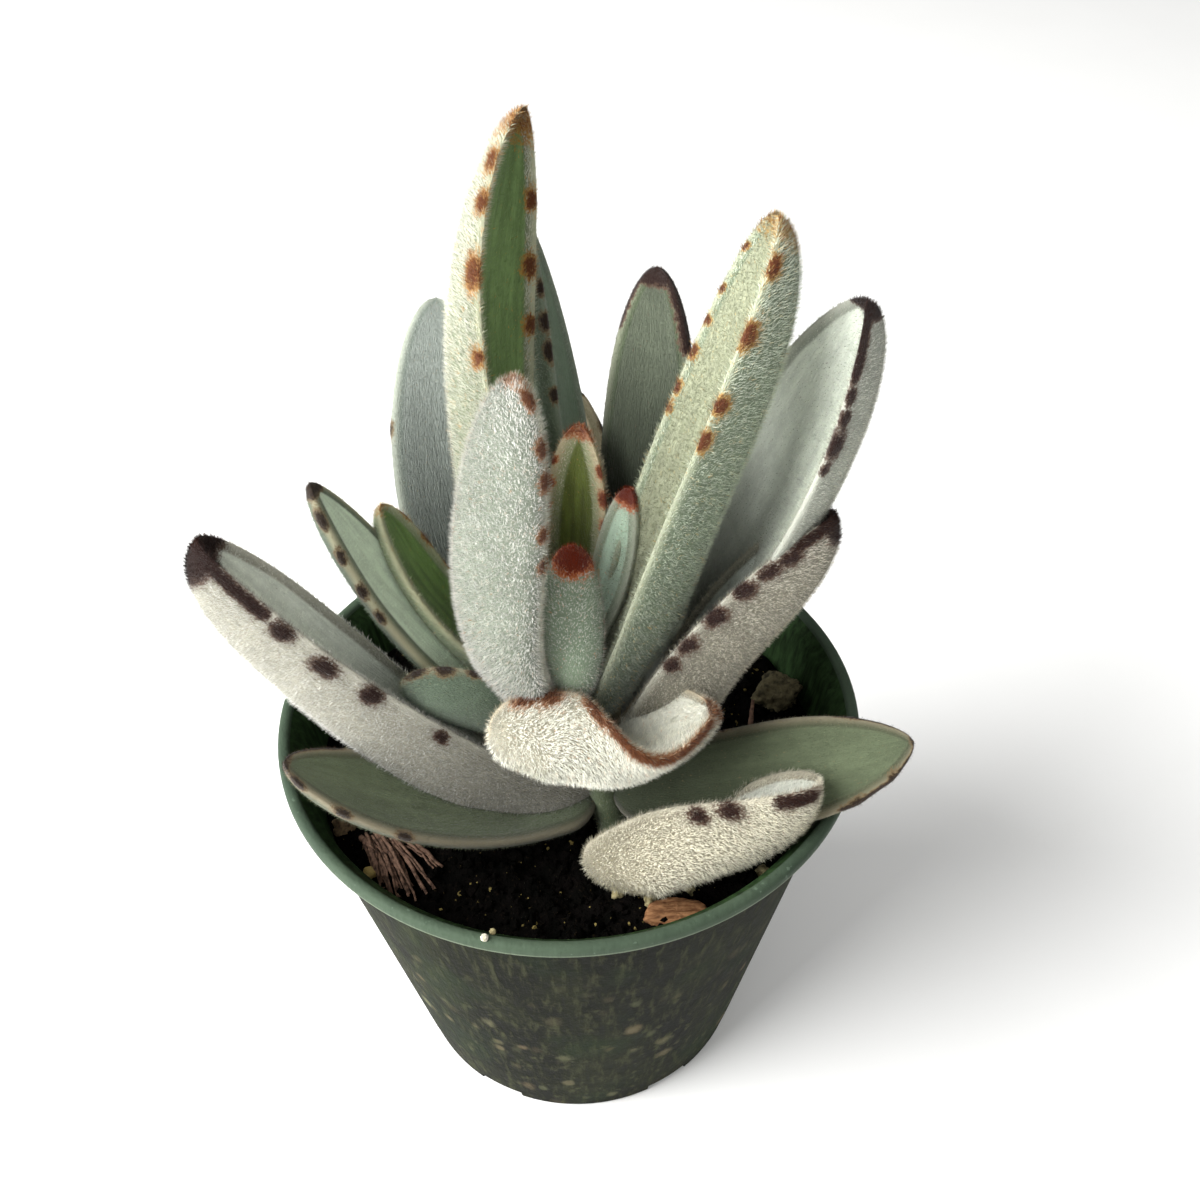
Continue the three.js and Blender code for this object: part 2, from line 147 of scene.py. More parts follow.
FELTS = {name: Felt(*(srgb(*colour) for colour in row[:4]), *row[4:]) for name, row in {
    "cream": ((127, 136, 109), (115, 140, 88), (206, 208, 176), (220, 220, 204), GOLD, 20, 4, 1.0, 0.1),
    "fresh": ((122, 137, 112), (156, 160, 134), (208, 212, 184), (225, 233, 214), TAWNY, 17, 15, 1.0, 0.1),
    "heart": ((134, 143, 127), (196, 202, 184), (206, 208, 188), (238, 237, 231), RUST, 23, 19, 1.05, 0.09),
    "sprout": ((150, 160, 120), (94, 104, 46), (214, 198, 162), (226, 220, 196), FOX, 14, 2.5),
    "bud": ((147, 166, 140), (80, 94, 56), (160, 170, 148), (241, 241, 231), EMBER, 15, 6, 0.7, 0.09),
    "shoot": ((157, 171, 144), (196, 217, 196), (206, 212, 192), (223, 229, 215), EMBER, 14, 12, 0.7, 0.09),
    "mist": ((109, 123, 101), (111, 129, 106), (140, 150, 132), (179, 195, 173), UMBER, 13, 13, 0.5, 0.08),
    "pearl": ((115, 126, 117), (130, 137, 130), (191, 197, 181), (169, 176, 168), UMBER, 14, 14, 0.5, 0.08),
    # a darker mist whose darkness is painted shade, for the rear leaf that the leaves in front of it shade
    "slate": ((78, 92, 64), (89, 96, 80), (168, 172, 148), (110, 118, 101), CHOCOLATE, 13, 13, 0.5, 0.08),
    "moss": ((84, 92, 68), (100, 110, 84), (164, 154, 128), (112, 120, 96), UMBER, 9, 8, 0.45, 0.08),
    "silver": ((134, 131, 116), (206, 212, 204), (214, 212, 196), (230, 225, 208), CHOCOLATE, 20, 15, 0.9,
        0.09),
    "ermine": ((176, 173, 157), (234, 238, 228), (222, 220, 206), (241, 241, 235), CHOCOLATE, 22, 16, 0.9,
        0.09),
    "oat": ((153, 147, 128), (214, 216, 206), (214, 208, 188), (238, 234, 212), CHOCOLATE, 25, 20, 1.0,
        0.09),
    "frost": ((166, 171, 157), (224, 229, 217), (225, 227, 213), (239, 239, 227), CHOCOLATE, 15, 14, 0.7,
        0.09),
    "wool": ((172, 167, 148), (227, 227, 215), (220, 206, 176), (241, 241, 227), RUST, 23, 20, 1.05, 0.1),
    "young": ((140, 156, 118), (109, 139, 75), (206, 204, 168), (197, 205, 176), GOLD, 13, 4, 0.8, 0.09),
    "dusk": ((100, 115, 96), (215, 229, 208), (194, 188, 156), (146, 162, 140), UMBER, 13, 13, 0.6, 0.08),
    "sere": ((150, 144, 114), (204, 190, 160), (206, 192, 160), (186, 180, 150), UMBER, 9, 9, 0.5, 0.08),
}.items()}


# ---- leaves ---------------------------------------------------------------------------------------
@dataclass
class Leaf:
    """One leaf: where it sits on the stem, how it grows, and the teeth that it carries.

    at, side, reach, heel: height and compass direction of its seat, the seat's distance from the
    stem's middle, and how far the heel reaches back. heading and sway: compass direction at the
    heel and what the tip adds. rise: slope at heel and tip; bend: how early it takes the tip's.
    size: length, width, thickness. groove: depth of the furrow. roll and twist: turn about its own
    length, and what the tip adds over `turning`. tip and widest: outline. left and right: (share of
    the length, size) of each tooth, and lean: how far outward of each lip they lie. edge: (side,
    from, to, width) of brown bands. cap: length of the brown tip, and how brown it is from 0 to 1.
    patch: (share, column, length, width) of a brown patch off the lips. bare: how dark the
    leaf is painted at the heel, partly for its thin down and partly as painted shade deep in the
    rosette, and the shares of its length over which that fades. lips: how much wider than usual its
    pale lips are.
    """

    name: str
    at: float
    heading: float
    rise: tuple
    bend: float
    size: tuple
    groove: float
    felt: str
    sway: float = 0
    side: float = None
    reach: float = None
    heel: float = 0
    roll: float = 0
    twist: float = 0
    turning: tuple = (0, 1)
    tip: float = 0.55
    widest: float = 0.56
    left: tuple = ()
    right: tuple = ()
    lean: tuple = (1.0, 1.0)
    edge: tuple = ()
    cap: tuple = (0, 0)
    patch: tuple = ()
    bare: tuple = (0.2, 0.15, 0.85)
    lips: float = 1.0


LEAVES = (
    Leaf("leaf_low_front", 74, 10.4, (39.1, 11.7), 0.94, (41.6, 13.6, 7.2), 7.3, "oat", sway=-15.1,
         side=-86.5, reach=11.1, heel=5.3, roll=-91.4, twist=64.3, tip=0.36, widest=0.57,
         right=((0.54, 0.9), (0.66, 1)), edge=((-1, 0.85, 0.96, 1.2),), lean=(2, 2), bare=(0, 0, 1)),
    Leaf("leaf_front_bent", 95.5, 4.1, (-13, 39), 0.51, (36.3, 17.2, 6.6), 6, "wool", sway=-9.1, side=-108.3,
         reach=11.8, heel=9.7, roll=-94.9, twist=112, turning=(0.3, 0.85), tip=0.79, widest=0.57,
         right=((0.14, 1), (0.25, 1.1), (0.47, 1.1)), edge=((-1, 0.56, 0.95, 1.1),), cap=(1.2, 0.6),
         lean=(1.4, 1.4), bare=(0, 0, 1)),
    Leaf("leaf_bud_front", 98, -76.3, (1.4, 113.4), 4.11, (29.4, 9.6, 5), 1, "bud", sway=-23.2, roll=5.6,
         tip=0.45, patch=(0.94, 37, 4.6, 8), bare=(0, 0, 1)),
    Leaf("leaf_heart_left", 92, 209.1, (29.8, 100.1), 3.53, (69, 15.9, 6), 0.3, "heart", sway=-10.6,
         roll=22.9, twist=6.9, tip=0.5,
         left=((0.97, 0.6), (0.88, 0.7), (0.81, 0.8), (0.69, 0.7), (0.61, 0.6)), cap=(1.5, 0.42),
         bare=(0.25, 0.05, 0.4)),
    Leaf("leaf_left_small", 89.5, 179.4, (18.9, 31.8), 1.5, (29.3, 14.1, 6), 1.7, "dusk", sway=8.8, side=215,
         roll=68.4, twist=6.4, left=((0.96, 0.7), (0.84, 0.8), (0.68, 0.7), (0.59, 0.6)), lean=(0.6, 0.6),
         bare=(0.4, 0.1, 0.95)),
    Leaf("leaf_right_front", 71.5, 7.9, (80.6, 35), 0.74, (68.7, 16.7, 7), 7.5, "silver", sway=-17.5,
         side=80, reach=8, roll=-32.1, twist=16.1, tip=0.5,
         right=((0.89, 1), (0.84, 1), (0.77, 1.1), (0.68, 1.1), (0.58, 0.9), (0.51, 0.8)),
         edge=((-1, 0.92, 1, 0.9),), cap=(2.2, 0.9), lean=(1.5, 1.5)),
    Leaf("leaf_heart_rear", 98, 78.6, (58.2, 71.4), 2.02, (38.8, 10.8, 3.6), 2.6, "sprout", sway=-1.3,
         roll=-10.5, twist=-3.9, left=((0.84, 0.45), (0.74, 0.55), (0.64, 0.6), (0.51, 0.55), (0.39, 0.5)),
         right=((0.82, 0.5), (0.71, 0.65), (0.59, 0.6)), cap=(2.4, 0.62), lean=(-0.2, -0.2), lips=1.5),
    Leaf("leaf_bud_right", 98, 35, (54, 76), 2, (32, 8.6, 3.6), 1.5, "shoot", sway=5, cap=(1.6, 0.8),
         patch=(0.97, 12, 4, 6)),
    Leaf("leaf_right_tall", 90, 5.8, (82.8, 61.2), 1.41, (87.2, 19.1, 7), 6.9, "fresh", sway=31.4, roll=-7.3,
         twist=-22.2, tip=0.5, widest=0.66,
         left=((0.93, 0.5), (0.85, 0.5), (0.79, 0.6), (0.73, 0.7), (0.66, 0.7), (0.62, 0.6)),
         right=((0.93, 0.8), (0.83, 1.1), (0.72, 0.9), (0.66, 0.8)), cap=(3.5, 0.42), lean=(-0.5, 0.9),
         bare=(0.6, 0.1, 0.45)),
    Leaf("leaf_tall", 93, 125.7, (72.5, 52.4), 1.87, (93.2, 17.1, 6), 7.4, "cream", sway=-58.3, roll=64.5,
         twist=-0.8, tip=0.7, left=((0.9, 0.9), (0.83, 0.9), (0.72, 1.2), (0.59, 0.8)),
         right=((0.86, 0.8), (0.75, 1), (0.65, 0.8)), cap=(5, 0.52), lean=(1.2, -0.9), bare=(0.1, 0.1, 0.8)),
    Leaf("leaf_left_young", 93, 156.2, (14.6, 56.1), 1.58, (43.8, 12.1, 4.6), 3, "young", sway=-17.8,
         side=170, roll=16.2, twist=2.9, right=((0.91, 0.7), (0.79, 0.8), (0.66, 0.6)), cap=(1.5, 0.4),
         lean=(0.5, 0.5), bare=(0.4, 0.1, 0.8)),
    Leaf("leaf_left_long", 75.3, 169.5, (13.4, 53.5), 3.52, (80.7, 15.1, 9.4), 7.7, "ermine", sway=16.7,
         roll=40.7, twist=-38, tip=0.47, widest=0.49,
         left=((0.79, 1.15), (0.68, 1.1), (0.57, 1.1), (0.39, 0.85)), edge=((1, 0.84, 1, 1.1),), cap=(4, 1),
         lean=(1.9, 1.9), bare=(0.55, 0.05, 0.7)),
    Leaf("leaf_low_right", 76, -16.5, (15.9, 14.6), 1, (51.1, 17.8, 4.8), 2.2, "moss", sway=22.6, side=0,
         roll=34.1, twist=-6.1, tip=0.65, left=((0.83, 0.5), (0.4, 0.5), (0.3, 0.5)),
         right=((0.9, 0.8), (0.78, 0.8)), edge=((-1, 0.74, 1, 0.5), (1, 0.8, 1, 0.4)), cap=(0.8, 0.6),
         lean=(0.3, 0.3), bare=(0.75, 0.1, 0.95)),
    Leaf("leaf_low_left", 75, 196, (0.7, 35.2), 1.83, (54.1, 15.9, 4.8), 2.9, "moss", sway=-14.2, roll=-9.7,
         twist=4.6, tip=0.6, left=((0.95, 0.8), (0.81, 0.9), (0.62, 0.8)), edge=((-1, 0.84, 1, 0.5),),
         cap=(1.2, 0.7), lean=(0.2, 0.2), bare=(0.5, 0.1, 0.95)),
    Leaf("leaf_left_upper", 85, 160.1, (19.3, 60.7), 1.92, (62.5, 14.1, 4.8), 1.7, "dusk", sway=0.4,
         roll=-5.3, twist=14.3, tip=0.65, left=((0.92, 0.9), (0.82, 0.8), (0.72, 0.8), (0.64, 0.7)),
         cap=(2, 0.9), lean=(0.4, 0.4), bare=(0.6, 0.05, 0.5)),
    Leaf("leaf_right_rear", 72.9, -1.4, (67.3, 69.7), 1.7, (96.1, 24.5, 6.6), 8, "frost", sway=-11.8,
         side=84, reach=15, roll=14, twist=10.4, tip=0.71, widest=0.64,
         right=((0.89, 0.6), (0.86, 0.7), (0.82, 1.3), (0.78, 0.6)), edge=((-1, 0.92, 1, 0.9),),
         cap=(1.8, 1), lean=(0.9, 0.9), bare=(0.6, 0.3, 0.8)),
    Leaf("leaf_tall_rear", 90, 79.4, (44.2, 57.8), 1.97, (78.3, 13.8, 5), 4, "mist", sway=34.1, roll=66.7,
         twist=-6.4, tip=0.6, left=((0.88, 0.7), (0.81, 0.9), (0.75, 0.9), (0.66, 0.8)), lean=(0.4, 0.4)),
    Leaf("leaf_rear_left", 82, 146.7, (19.6, 65.3), 1.92, (80.9, 18.3, 5), 1.8, "pearl", sway=-69, side=100,
         reach=6, roll=-4.5, twist=-2.2, tip=0.5, left=((0.74, 0.8),), bare=(0.55, 0.5, 0.98)),
    # its felt is a mist darkened with painted shade
    Leaf("leaf_rear", 88, 53.5, (50, 80.7), 1.62, (75.7, 16.3, 5), 1.6, "slate", sway=22.8, roll=-20.6,
         twist=9.5, edge=((-1, 0.85, 1, 1.3), (1, 0.88, 1, 0.8)), cap=(2.6, 1), lean=(0.4, 0.4),
         bare=(0.72, 0.6, 0.96)),
    Leaf("leaf_hidden_left", 78, 128, (8, 36), 1.5, (50, 15, 5), 1.8, "moss", left=((0.9, 0.9), (0.75, 0.8)),
         right=((0.84, 0.9), (0.7, 0.7)), cap=(1.2, 0.8)),
    Leaf("leaf_hidden_rear", 79, 95, (22, 62), 1.5, (66, 15, 5), 1.8, "sere", sway=-8,
         left=((0.88, 0.9), (0.76, 0.8)), right=((0.9, 0.9), (0.8, 0.9), (0.68, 0.7)), cap=(1.2, 0.8)),
    Leaf("leaf_hidden_right", 75, 58, (8, 34), 1.5, (54, 15, 5), 1.8, "moss", left=((0.9, 0.8), (0.79, 0.7)),
         right=((0.86, 0.9), (0.72, 0.8)), cap=(1.2, 0.8)),
)


# ---- node trees -----------------------------------------------------------------------------------
class Wire:
    """An output socket that takes part in plain arithmetic; each expression adds its Math nodes."""

    def __init__(self, nodes, socket):
        self.nodes = nodes
        self.socket = socket

    def other(self, name):
        """Another output of the same node."""
        return Wire(self.nodes, self.socket.node.outputs[name])

    def math(self, operation, *values):
        return self.nodes.node("ShaderNodeMath", {"operation": operation}, dict(enumerate(values)))

    def __add__(self, other):
        return self.math("ADD", self, other)

    def __sub__(self, other):
        return self.math("SUBTRACT", self, other)

    def __rsub__(self, other):
        return self.math("SUBTRACT", other, self)

    def __mul__(self, other):
        return self.math("MULTIPLY", self, other)

    __radd__ = __add__
    __rmul__ = __mul__


class Nodes:
    """A node tree under construction."""

    def __init__(self, tree):
        self.tree = tree

    def node(self, kind, settings=None, sockets=None, out=None):
        """Any node: its settings are set first, then its sockets by name or place."""
        made = self.tree.nodes.new(kind)
        for name, value in (settings or {}).items():
            setattr(made, name, value)
        shown = [socket for socket in made.inputs if socket.enabled]
        for key, value in (sockets or {}).items():
            socket = shown[key] if isinstance(key, int) else next(s for s in shown if s.name == key)
            if isinstance(value, Wire):
                self.tree.links.new(value.socket, socket)
            else:
                socket.default_value = value
        outputs = [socket for socket in made.outputs if socket.enabled]
        return Wire(self, made.outputs[out] if out else outputs[0])

    def attribute(self, name, out="Fac"):
        return self.node("ShaderNodeAttribute", {"attribute_name": name}, out=out)

    def vector(self, operation, a, b):
        return self.node("ShaderNodeVectorMath", {"operation": operation}, {0: a, 1: b})

    def scale(self, vector, factor):
        return self.node("ShaderNodeVectorMath", {"operation": "SCALE"}, {"Vector": vector, "Scale": factor})

    def step(self, value, low, high):
        """0 below `low`, 1 above `high`, and a smooth passage between them."""
        return self.node("ShaderNodeMapRange", {"interpolation_type": "SMOOTHSTEP"},
                         {"Value": value, "From Min": low, "From Max": high})

    def blend(self, share, first, second):
        """Colour `first` where share is 0 and `second` where it is 1."""
        return self.node("ShaderNodeMix", {"data_type": "RGBA"}, {0: share, 1: first, 2: second})

    def over(self, colour, *coats):
        """The colour under coats of (tint, value, low, high, share): each tint covers the share of what
        is below it where its value has passed from low to high."""
        for tint, value, low, high, share in coats:
            colour = self.blend(self.step(value, low, high) * share, colour, tint)
        return colour

    def grain(self, size, detail=3.0, roughness=0.55, place=None):
        """Noise from 0 to 1 with lumps about `size` across: metres, or the units of another place."""
        return self.node("ShaderNodeTexNoise", {}, {
            "Vector": place or self.place, "Scale": 1 / size, "Detail": detail, "Roughness": roughness})

    def stretch(self, x, y, z, place=None):
        return self.vector("MULTIPLY", place or self.place, (x, y, z))


class Finish(Nodes):
    """A material of one Principled shader."""

    def __init__(self, name, roughness, specular=0.5, sheen=(0.0, 0.5)):
        self.material = bpy.data.materials.new(name)
        self.material.use_nodes = True
        super().__init__(self.material.node_tree)
        self.tree.nodes.clear()
        self.shader = self.node("ShaderNodeBsdfPrincipled", {}, {
            "Roughness": roughness, "Specular IOR Level": specular,
            "Sheen Weight": sheen[0], "Sheen Roughness": sheen[1]}).socket.node
        output = self.tree.nodes.new("ShaderNodeOutputMaterial")
        self.tree.links.new(self.shader.outputs[0], output.inputs["Surface"])
        self.place = self.node("ShaderNodeTexCoord", out="Object")

    def set(self, socket, wire):
        self.tree.links.new(wire.socket, self.shader.inputs[socket])

    def done(self, colour, roughness=None, height=None, depth=0.0):
        """The material, with what changes over the surface: it is bumped by `height` (0 to 1) times
        `depth` metres."""
        self.set("Base Color", colour)
        if roughness:
            self.set("Roughness", roughness)
        if height:
            bump = self.node("ShaderNodeBump", {}, {"Height": height, "Distance": depth, "Strength": 1.0})
            self.set("Normal", bump)
        return self.material


class Recipe(Nodes):
    """A geometry tree with named inputs. It ends in Realize Instances and Set Material."""

    def __init__(self, name, **inputs):
        super().__init__(bpy.data.node_groups.new(name, "GeometryNodeTree"))
        interface = self.tree.interface
        interface.new_socket("Geometry", in_out="OUTPUT", socket_type="NodeSocketGeometry")
        interface.new_socket("Geometry", in_out="INPUT", socket_type="NodeSocketGeometry")
        interface.new_socket("Material", in_out="INPUT", socket_type="NodeSocketMaterial")
        for label, value in inputs.items():
            kind = "NodeSocketInt" if isinstance(value, int) else "NodeSocketFloat"
            interface.new_socket(label, in_out="INPUT", socket_type=kind).default_value = value
        self.identifiers = {item.name: item.identifier for item in interface.items_tree
                            if item.in_out == "INPUT"}
        self.entry = self.tree.nodes.new("NodeGroupInput")

    def port(self, name):
        return Wire(self, self.entry.outputs[name])

    def named(self, name, kind="FLOAT_VECTOR"):
        return self.node("GeometryNodeInputNamedAttribute", {"data_type": kind}, {"Name": name})

    def chance(self, low, high, seed):
        """A random number, or vector, for each point."""
        kind = "FLOAT_VECTOR" if isinstance(low, tuple) else "FLOAT"
        return self.node("FunctionNodeRandomValue", {"data_type": kind},
                         {"Min": low, "Max": high, "Seed": seed})

    def store(self, geometry, name, value, kind="FLOAT_VECTOR", domain="POINT"):
        return self.node("GeometryNodeStoreNamedAttribute", {"data_type": kind, "domain": domain},
                         {"Geometry": geometry, "Name": name, "Value": value})

    def strew(self, density):
        """Points over the faces, so many for each square millimetre."""
        return self.node("GeometryNodeDistributePointsOnFaces", {}, {
            "Mesh": self.port("Geometry"), "Density": density * 1e6, "Seed": self.port("Seed")}, out="Points")

    def rooted(self, points):
        """Keeps on each point its place on the source's map."""
        return self.store(points, "root", self.named("OFBake"))

    def mapped(self, instances, spread):
        """Real faces, each laid on the map round its root and `spread` wide there."""
        real = self.node("GeometryNodeRealizeInstances", {}, {"Geometry": instances})
        around = self.vector("MULTIPLY", self.named("corner"), (spread, spread, 0.0))
        place = self.vector("ADD", self.named("root"), around)
        return self.store(real, "OFBake", place, "FLOAT2", "CORNER")

    def end(self, geometry):
        painted = self.node("GeometryNodeSetMaterial", {},
                            {"Geometry": geometry, "Material": self.port("Material")})
        leave = self.tree.nodes.new("NodeGroupOutput")
        self.tree.links.new(painted.socket, leave.inputs[0])

    def run(self, source, name, material, **values):
        """The plain mesh object that this tree makes from `source`."""
        modifier = source.modifiers.new(self.tree.name, "NODES")
        modifier.node_group = self.tree
        modifier[self.identifiers["Material"]] = material
        for label, value in values.items():
            modifier[self.identifiers[label]] = value
        ready = source.evaluated_get(bpy.context.evaluated_depsgraph_get())
        mesh = bpy.data.meshes.new_from_object(ready)
        mesh.name = name
        source.modifiers.remove(modifier)
        return add_piece(name, mesh)


# ---- meshes ---------------------------------------------------------------------------------------
def add_piece(name, mesh, material=None):
    piece = bpy.data.objects.new(name, mesh)
    bpy.context.scene.collection.objects.link(piece)
    if material:
        mesh.materials.append(material)
    return piece


def built(name, build, smooth=True):
    """The mesh of a finished bmesh."""
    mesh = bpy.data.meshes.new(name)
    build.to_mesh(mesh)
    build.free()
    if smooth:
        mesh.shade_smooth()
    return mesh


def seat(piece, slot, *nodes):
    """The piece moves with the pot and stands for these nodes. `slot` is not used."""
    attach(piece, "root")
    if nodes:
        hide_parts(*nodes)


def outward(mesh):
    """Turns the faces outwards and shades them smoothly."""
    build = bmesh.new()
    build.from_mesh(mesh)
    bmesh.ops.recalc_face_normals(build, faces=build.faces)
    build.to_mesh(mesh)
    build.free()
    mesh.shade_smooth()


def loft(name, rows, heel, tip):
    """A closed skin through rings of points, drawn together at both ends, with a map for baking."""
    count, around = rows.shape[:2]
    points = np.concatenate([rows.reshape(-1, 3), [heel, tip]]) * MM
    first, last = count * around, count * around + 1
    faces, corners = [], []
    for j in range(around):
        k = (j + 1) % around
        left, right = j / around, (j + 1) / around
        faces.append((first, k, j))
        corners += [(left, 0), (right, 1 / (count + 1)), (left, 1 / (count + 1))]
        for i in range(count - 1):
            low, high = (i + 1) / (count + 1), (i + 2) / (count + 1)
            faces.append((i * around + j, i * around + k, (i + 1) * around + k, (i + 1) * around + j))
            corners += [(left, low), (right, low), (right, high), (left, high)]
        end = (count - 1) * around
        faces.append((end + j, end + k, last))
        corners += [(left, count / (count + 1)), (right, count / (count + 1)), (left, 1)]
    mesh = bpy.data.meshes.new(name)
    mesh.from_pydata(points.tolist(), [], faces)
    mesh.uv_layers.new(name="OFBake").data.foreach_set("uv", np.array(corners).ravel())
    outward(mesh)
    return mesh


def paint(mesh, **fields):
    """Stores numbers, or vectors, on the mesh's points under their names."""
    for name, values in fields.items():
        values = np.asarray(values, dtype=np.float32)
        kind, slot = ("FLOAT", "value") if values.ndim == 1 else ("FLOAT_VECTOR", "vector")
        mesh.attributes.new(name, kind, "POINT").data.foreach_set(slot, values.ravel())


# ---- the shape of a leaf --------------------------------------------------------------------------
def quarter_round(x):
    return np.sqrt(1 - (1 - np.clip(x, 0, 1)) ** 2)


def smoothstep(x, low, high):
    x = np.clip((x - low) / (high - low), 0, 1)
    return x * x * (3 - 2 * x)


def stem_share(height):
    return (height - STEM_FOOT[2]) / (STEM_TOP[2] - STEM_FOOT[2])


def compass(angle):
    return np.array([math.cos(math.radians(angle)), math.sin(math.radians(angle)), 0])


def leaf_path(leaf):
    """Centre line of a leaf, with the directions across it and towards its inner face."""
    share = stem_share(leaf.at)
    side = leaf.heading if leaf.side is None else leaf.side
    reach = leaf.reach if leaf.reach is not None else np.interp(share, (0, 1), STEM_GIRTH) - 1
    start = STEM_FOOT + (STEM_TOP - STEM_FOOT) * share + compass(side) * reach
    t = np.linspace(0, 1, PATH_STEPS + 1)
    slope = np.radians(leaf.rise[1] + (leaf.rise[0] - leaf.rise[1]) * (1 - t) ** leaf.bend)
    azimuth = np.radians(leaf.heading + leaf.sway * t)
    roll = np.radians(leaf.roll + leaf.twist * smoothstep(t, *leaf.turning))
    ahead = np.stack([np.cos(slope) * np.cos(azimuth), np.cos(slope) * np.sin(azimuth), np.sin(slope)], 1)
    flat_side = np.stack([-np.sin(azimuth), np.cos(azimuth), 0 * t], 1)
    flat_up = np.cross(ahead, flat_side)
    cos, sin = np.cos(roll)[:, None], np.sin(roll)[:, None]
    steps = ahead * (leaf.size[0] / PATH_STEPS)
    steps[0] = ahead[0] * -leaf.heel
    return start + np.cumsum(steps, 0), flat_side * cos + flat_up * sin, flat_up * cos - flat_side * sin


def leaf_rows(leaf):
    """Rings of points round a leaf, the share of its length at each ring, and their turn round it."""
    length, width, thickness = leaf.size
    count = round(length / LEAF_ROW)
    even = np.arange(count + 1) / count
    t = (even + (1 - np.cos(even * np.pi)) / 2) / 2
    turn = np.arange(LEAF_AROUND) / LEAF_AROUND * 2 * np.pi
    past = np.clip((t - leaf.widest) / (1 - leaf.widest), 0, None)
    swell = HEEL_WIDTH + (1 - HEEL_WIDTH) * np.sin(np.pi / 2 * np.minimum(1, t / leaf.widest))
    half = width / 2 * quarter_round(t / HEEL_LENGTH) * swell * (1 - np.clip(past, 0, 1) ** 2) ** leaf.tip
    depth = thickness / 2 * quarter_round(t / HEEL_LENGTH) * (1 - THINNING * t)
    depth *= quarter_round((1 - t) / TIP_ROUND)
    groove = leaf.groove * np.minimum(1, t / FURROW_OPENS) * quarter_round((1 - t) / FURROW_CLOSES)
    up = np.sin(turn)
    lift = depth[:, None] * np.sign(up) * np.abs(up) ** MARGIN_ROUND - groove[:, None] * up**2
    walk = t * PATH_STEPS, np.arange(PATH_STEPS + 1)
    point, across, inner = (np.stack([np.interp(*walk, line[:, axis]) for axis in range(3)], 1)
                            for line in leaf_path(leaf))
    rows = (point[:, None] + across[:, None] * (half[:, None] * np.cos(turn))[..., None]
            + inner[:, None] * lift[..., None])
    return rows, t, turn, across


def outward_arc(rows, side, column=LIP_COLUMN):
    """How far each point lies, round the leaf, from a column: more than 0 towards the outer face.
    side is 1 for the left lip and -1 for the right one, where columns are counted backwards. The
    first and last rings are single points, with no way round them."""
    steps = np.linalg.norm(np.roll(rows, -1, 1) - rows, axis=2)
    arc = np.cumsum(steps, 1) - steps
    around = np.maximum(steps.sum(1, keepdims=True), NO_WAY_ROUND)
    start = column if side > 0 else LEAF_AROUND // 2 - column
    return ((arc - arc[:, [start]]) * -side + around / 2) % around - around / 2


def tooth_fields(leaf, rows, t):
    """For each point: how brown it is, how much it swells into a tooth, how near a lip it is, and
    how far it lies in the furrow."""
    length = leaf.size[0]
    lips = {side: outward_arc(rows, side) for side in (1, -1)}
    lean = dict(zip((1, -1), leaf.lean))
    luck = np.random.default_rng(sum(map(ord, leaf.name)))
    brown = np.zeros(lips[1].shape)
    swell = np.zeros(lips[1].shape)

    def spot(share, long, away, wide):
        along = ((t - share) * length / (long / 2))[:, None]
        return np.exp(BLOT_FADE * (along**2 + (away / (wide / 2)) ** 2))

    for side, teeth in ((1, leaf.left), (-1, leaf.right)):
        for share, size in teeth:
            long, wide = np.array(TOOTH) * size * luck.uniform(0.85, 1.15, 2)
            tooth = spot(share, long, lips[side] - lean[side] * luck.uniform(0.8, 1.2), wide)
            brown = np.maximum(brown, tooth)
            swell = np.maximum(swell, tooth * min(1, size))
    if leaf.patch:
        share, column, long, wide = leaf.patch
        brown = np.maximum(brown, spot(share, long, outward_arc(rows, 1, column), wide))
    for side, start, end, wide in leaf.edge:
        past = (np.maximum(np.maximum(start - t, t - end), 0) * length / BAND_END)[:, None]
        band = np.exp(BLOT_FADE * (past**2 + ((lips[side] - lean[side] * 0.7) / wide) ** 2))
        brown = np.maximum(brown, band)
    long, strength = leaf.cap
    if strength:
        tip_band = strength * (1 - smoothstep((1 - t) * length, long * 0.5, long * 1.7))
        brown = np.maximum(brown, tip_band[:, None])
    lip = np.minimum(np.abs(lips[1]), np.abs(lips[-1])) / leaf.lips
    column = np.arange(LEAF_AROUND)
    inner = (column > LIP_COLUMN) & (column < LEAF_AROUND // 2 - LIP_COLUMN)
    swell[[0, -1]] = 0
    return brown, swell, np.exp(-((lip / RIM_WIDTH) ** 2)), smoothstep(lip, *FURROW_START) * inner


# ---- finishes of the plant ------------------------------------------------------------------------
def brown_mask(finish):
    """The teeth's brown, ragged where it fades into the felt."""
    ragged = finish.grain(0.0014, 2.0)
    specks = finish.grain(0.0004, 2.0)
    return finish.attribute("brown") + (ragged - 0.5) * 0.5 + (specks - 0.5) * 0.7


def weathered(finish, mask, tone, colour, felt):
    """The colour darkened towards the heel, partly as painted shade and partly for the thin down there,
    with the teeth's two browns over it: a paler halo round a dark core, both uneven in tone."""
    # painted shade and thin down: the colour darkens towards the heel
    colour = finish.blend(finish.attribute("bare"), colour, shade(felt.flank, 0.12))
    halo, core = (finish.blend(tone, shade(brown, 0.7), shade(brown, 1.4)) for brown in felt.brown)
    return finish.over(colour, (halo, mask, 0.22, 0.5, 0.9), (core, mask, 0.4, 0.76, 1))


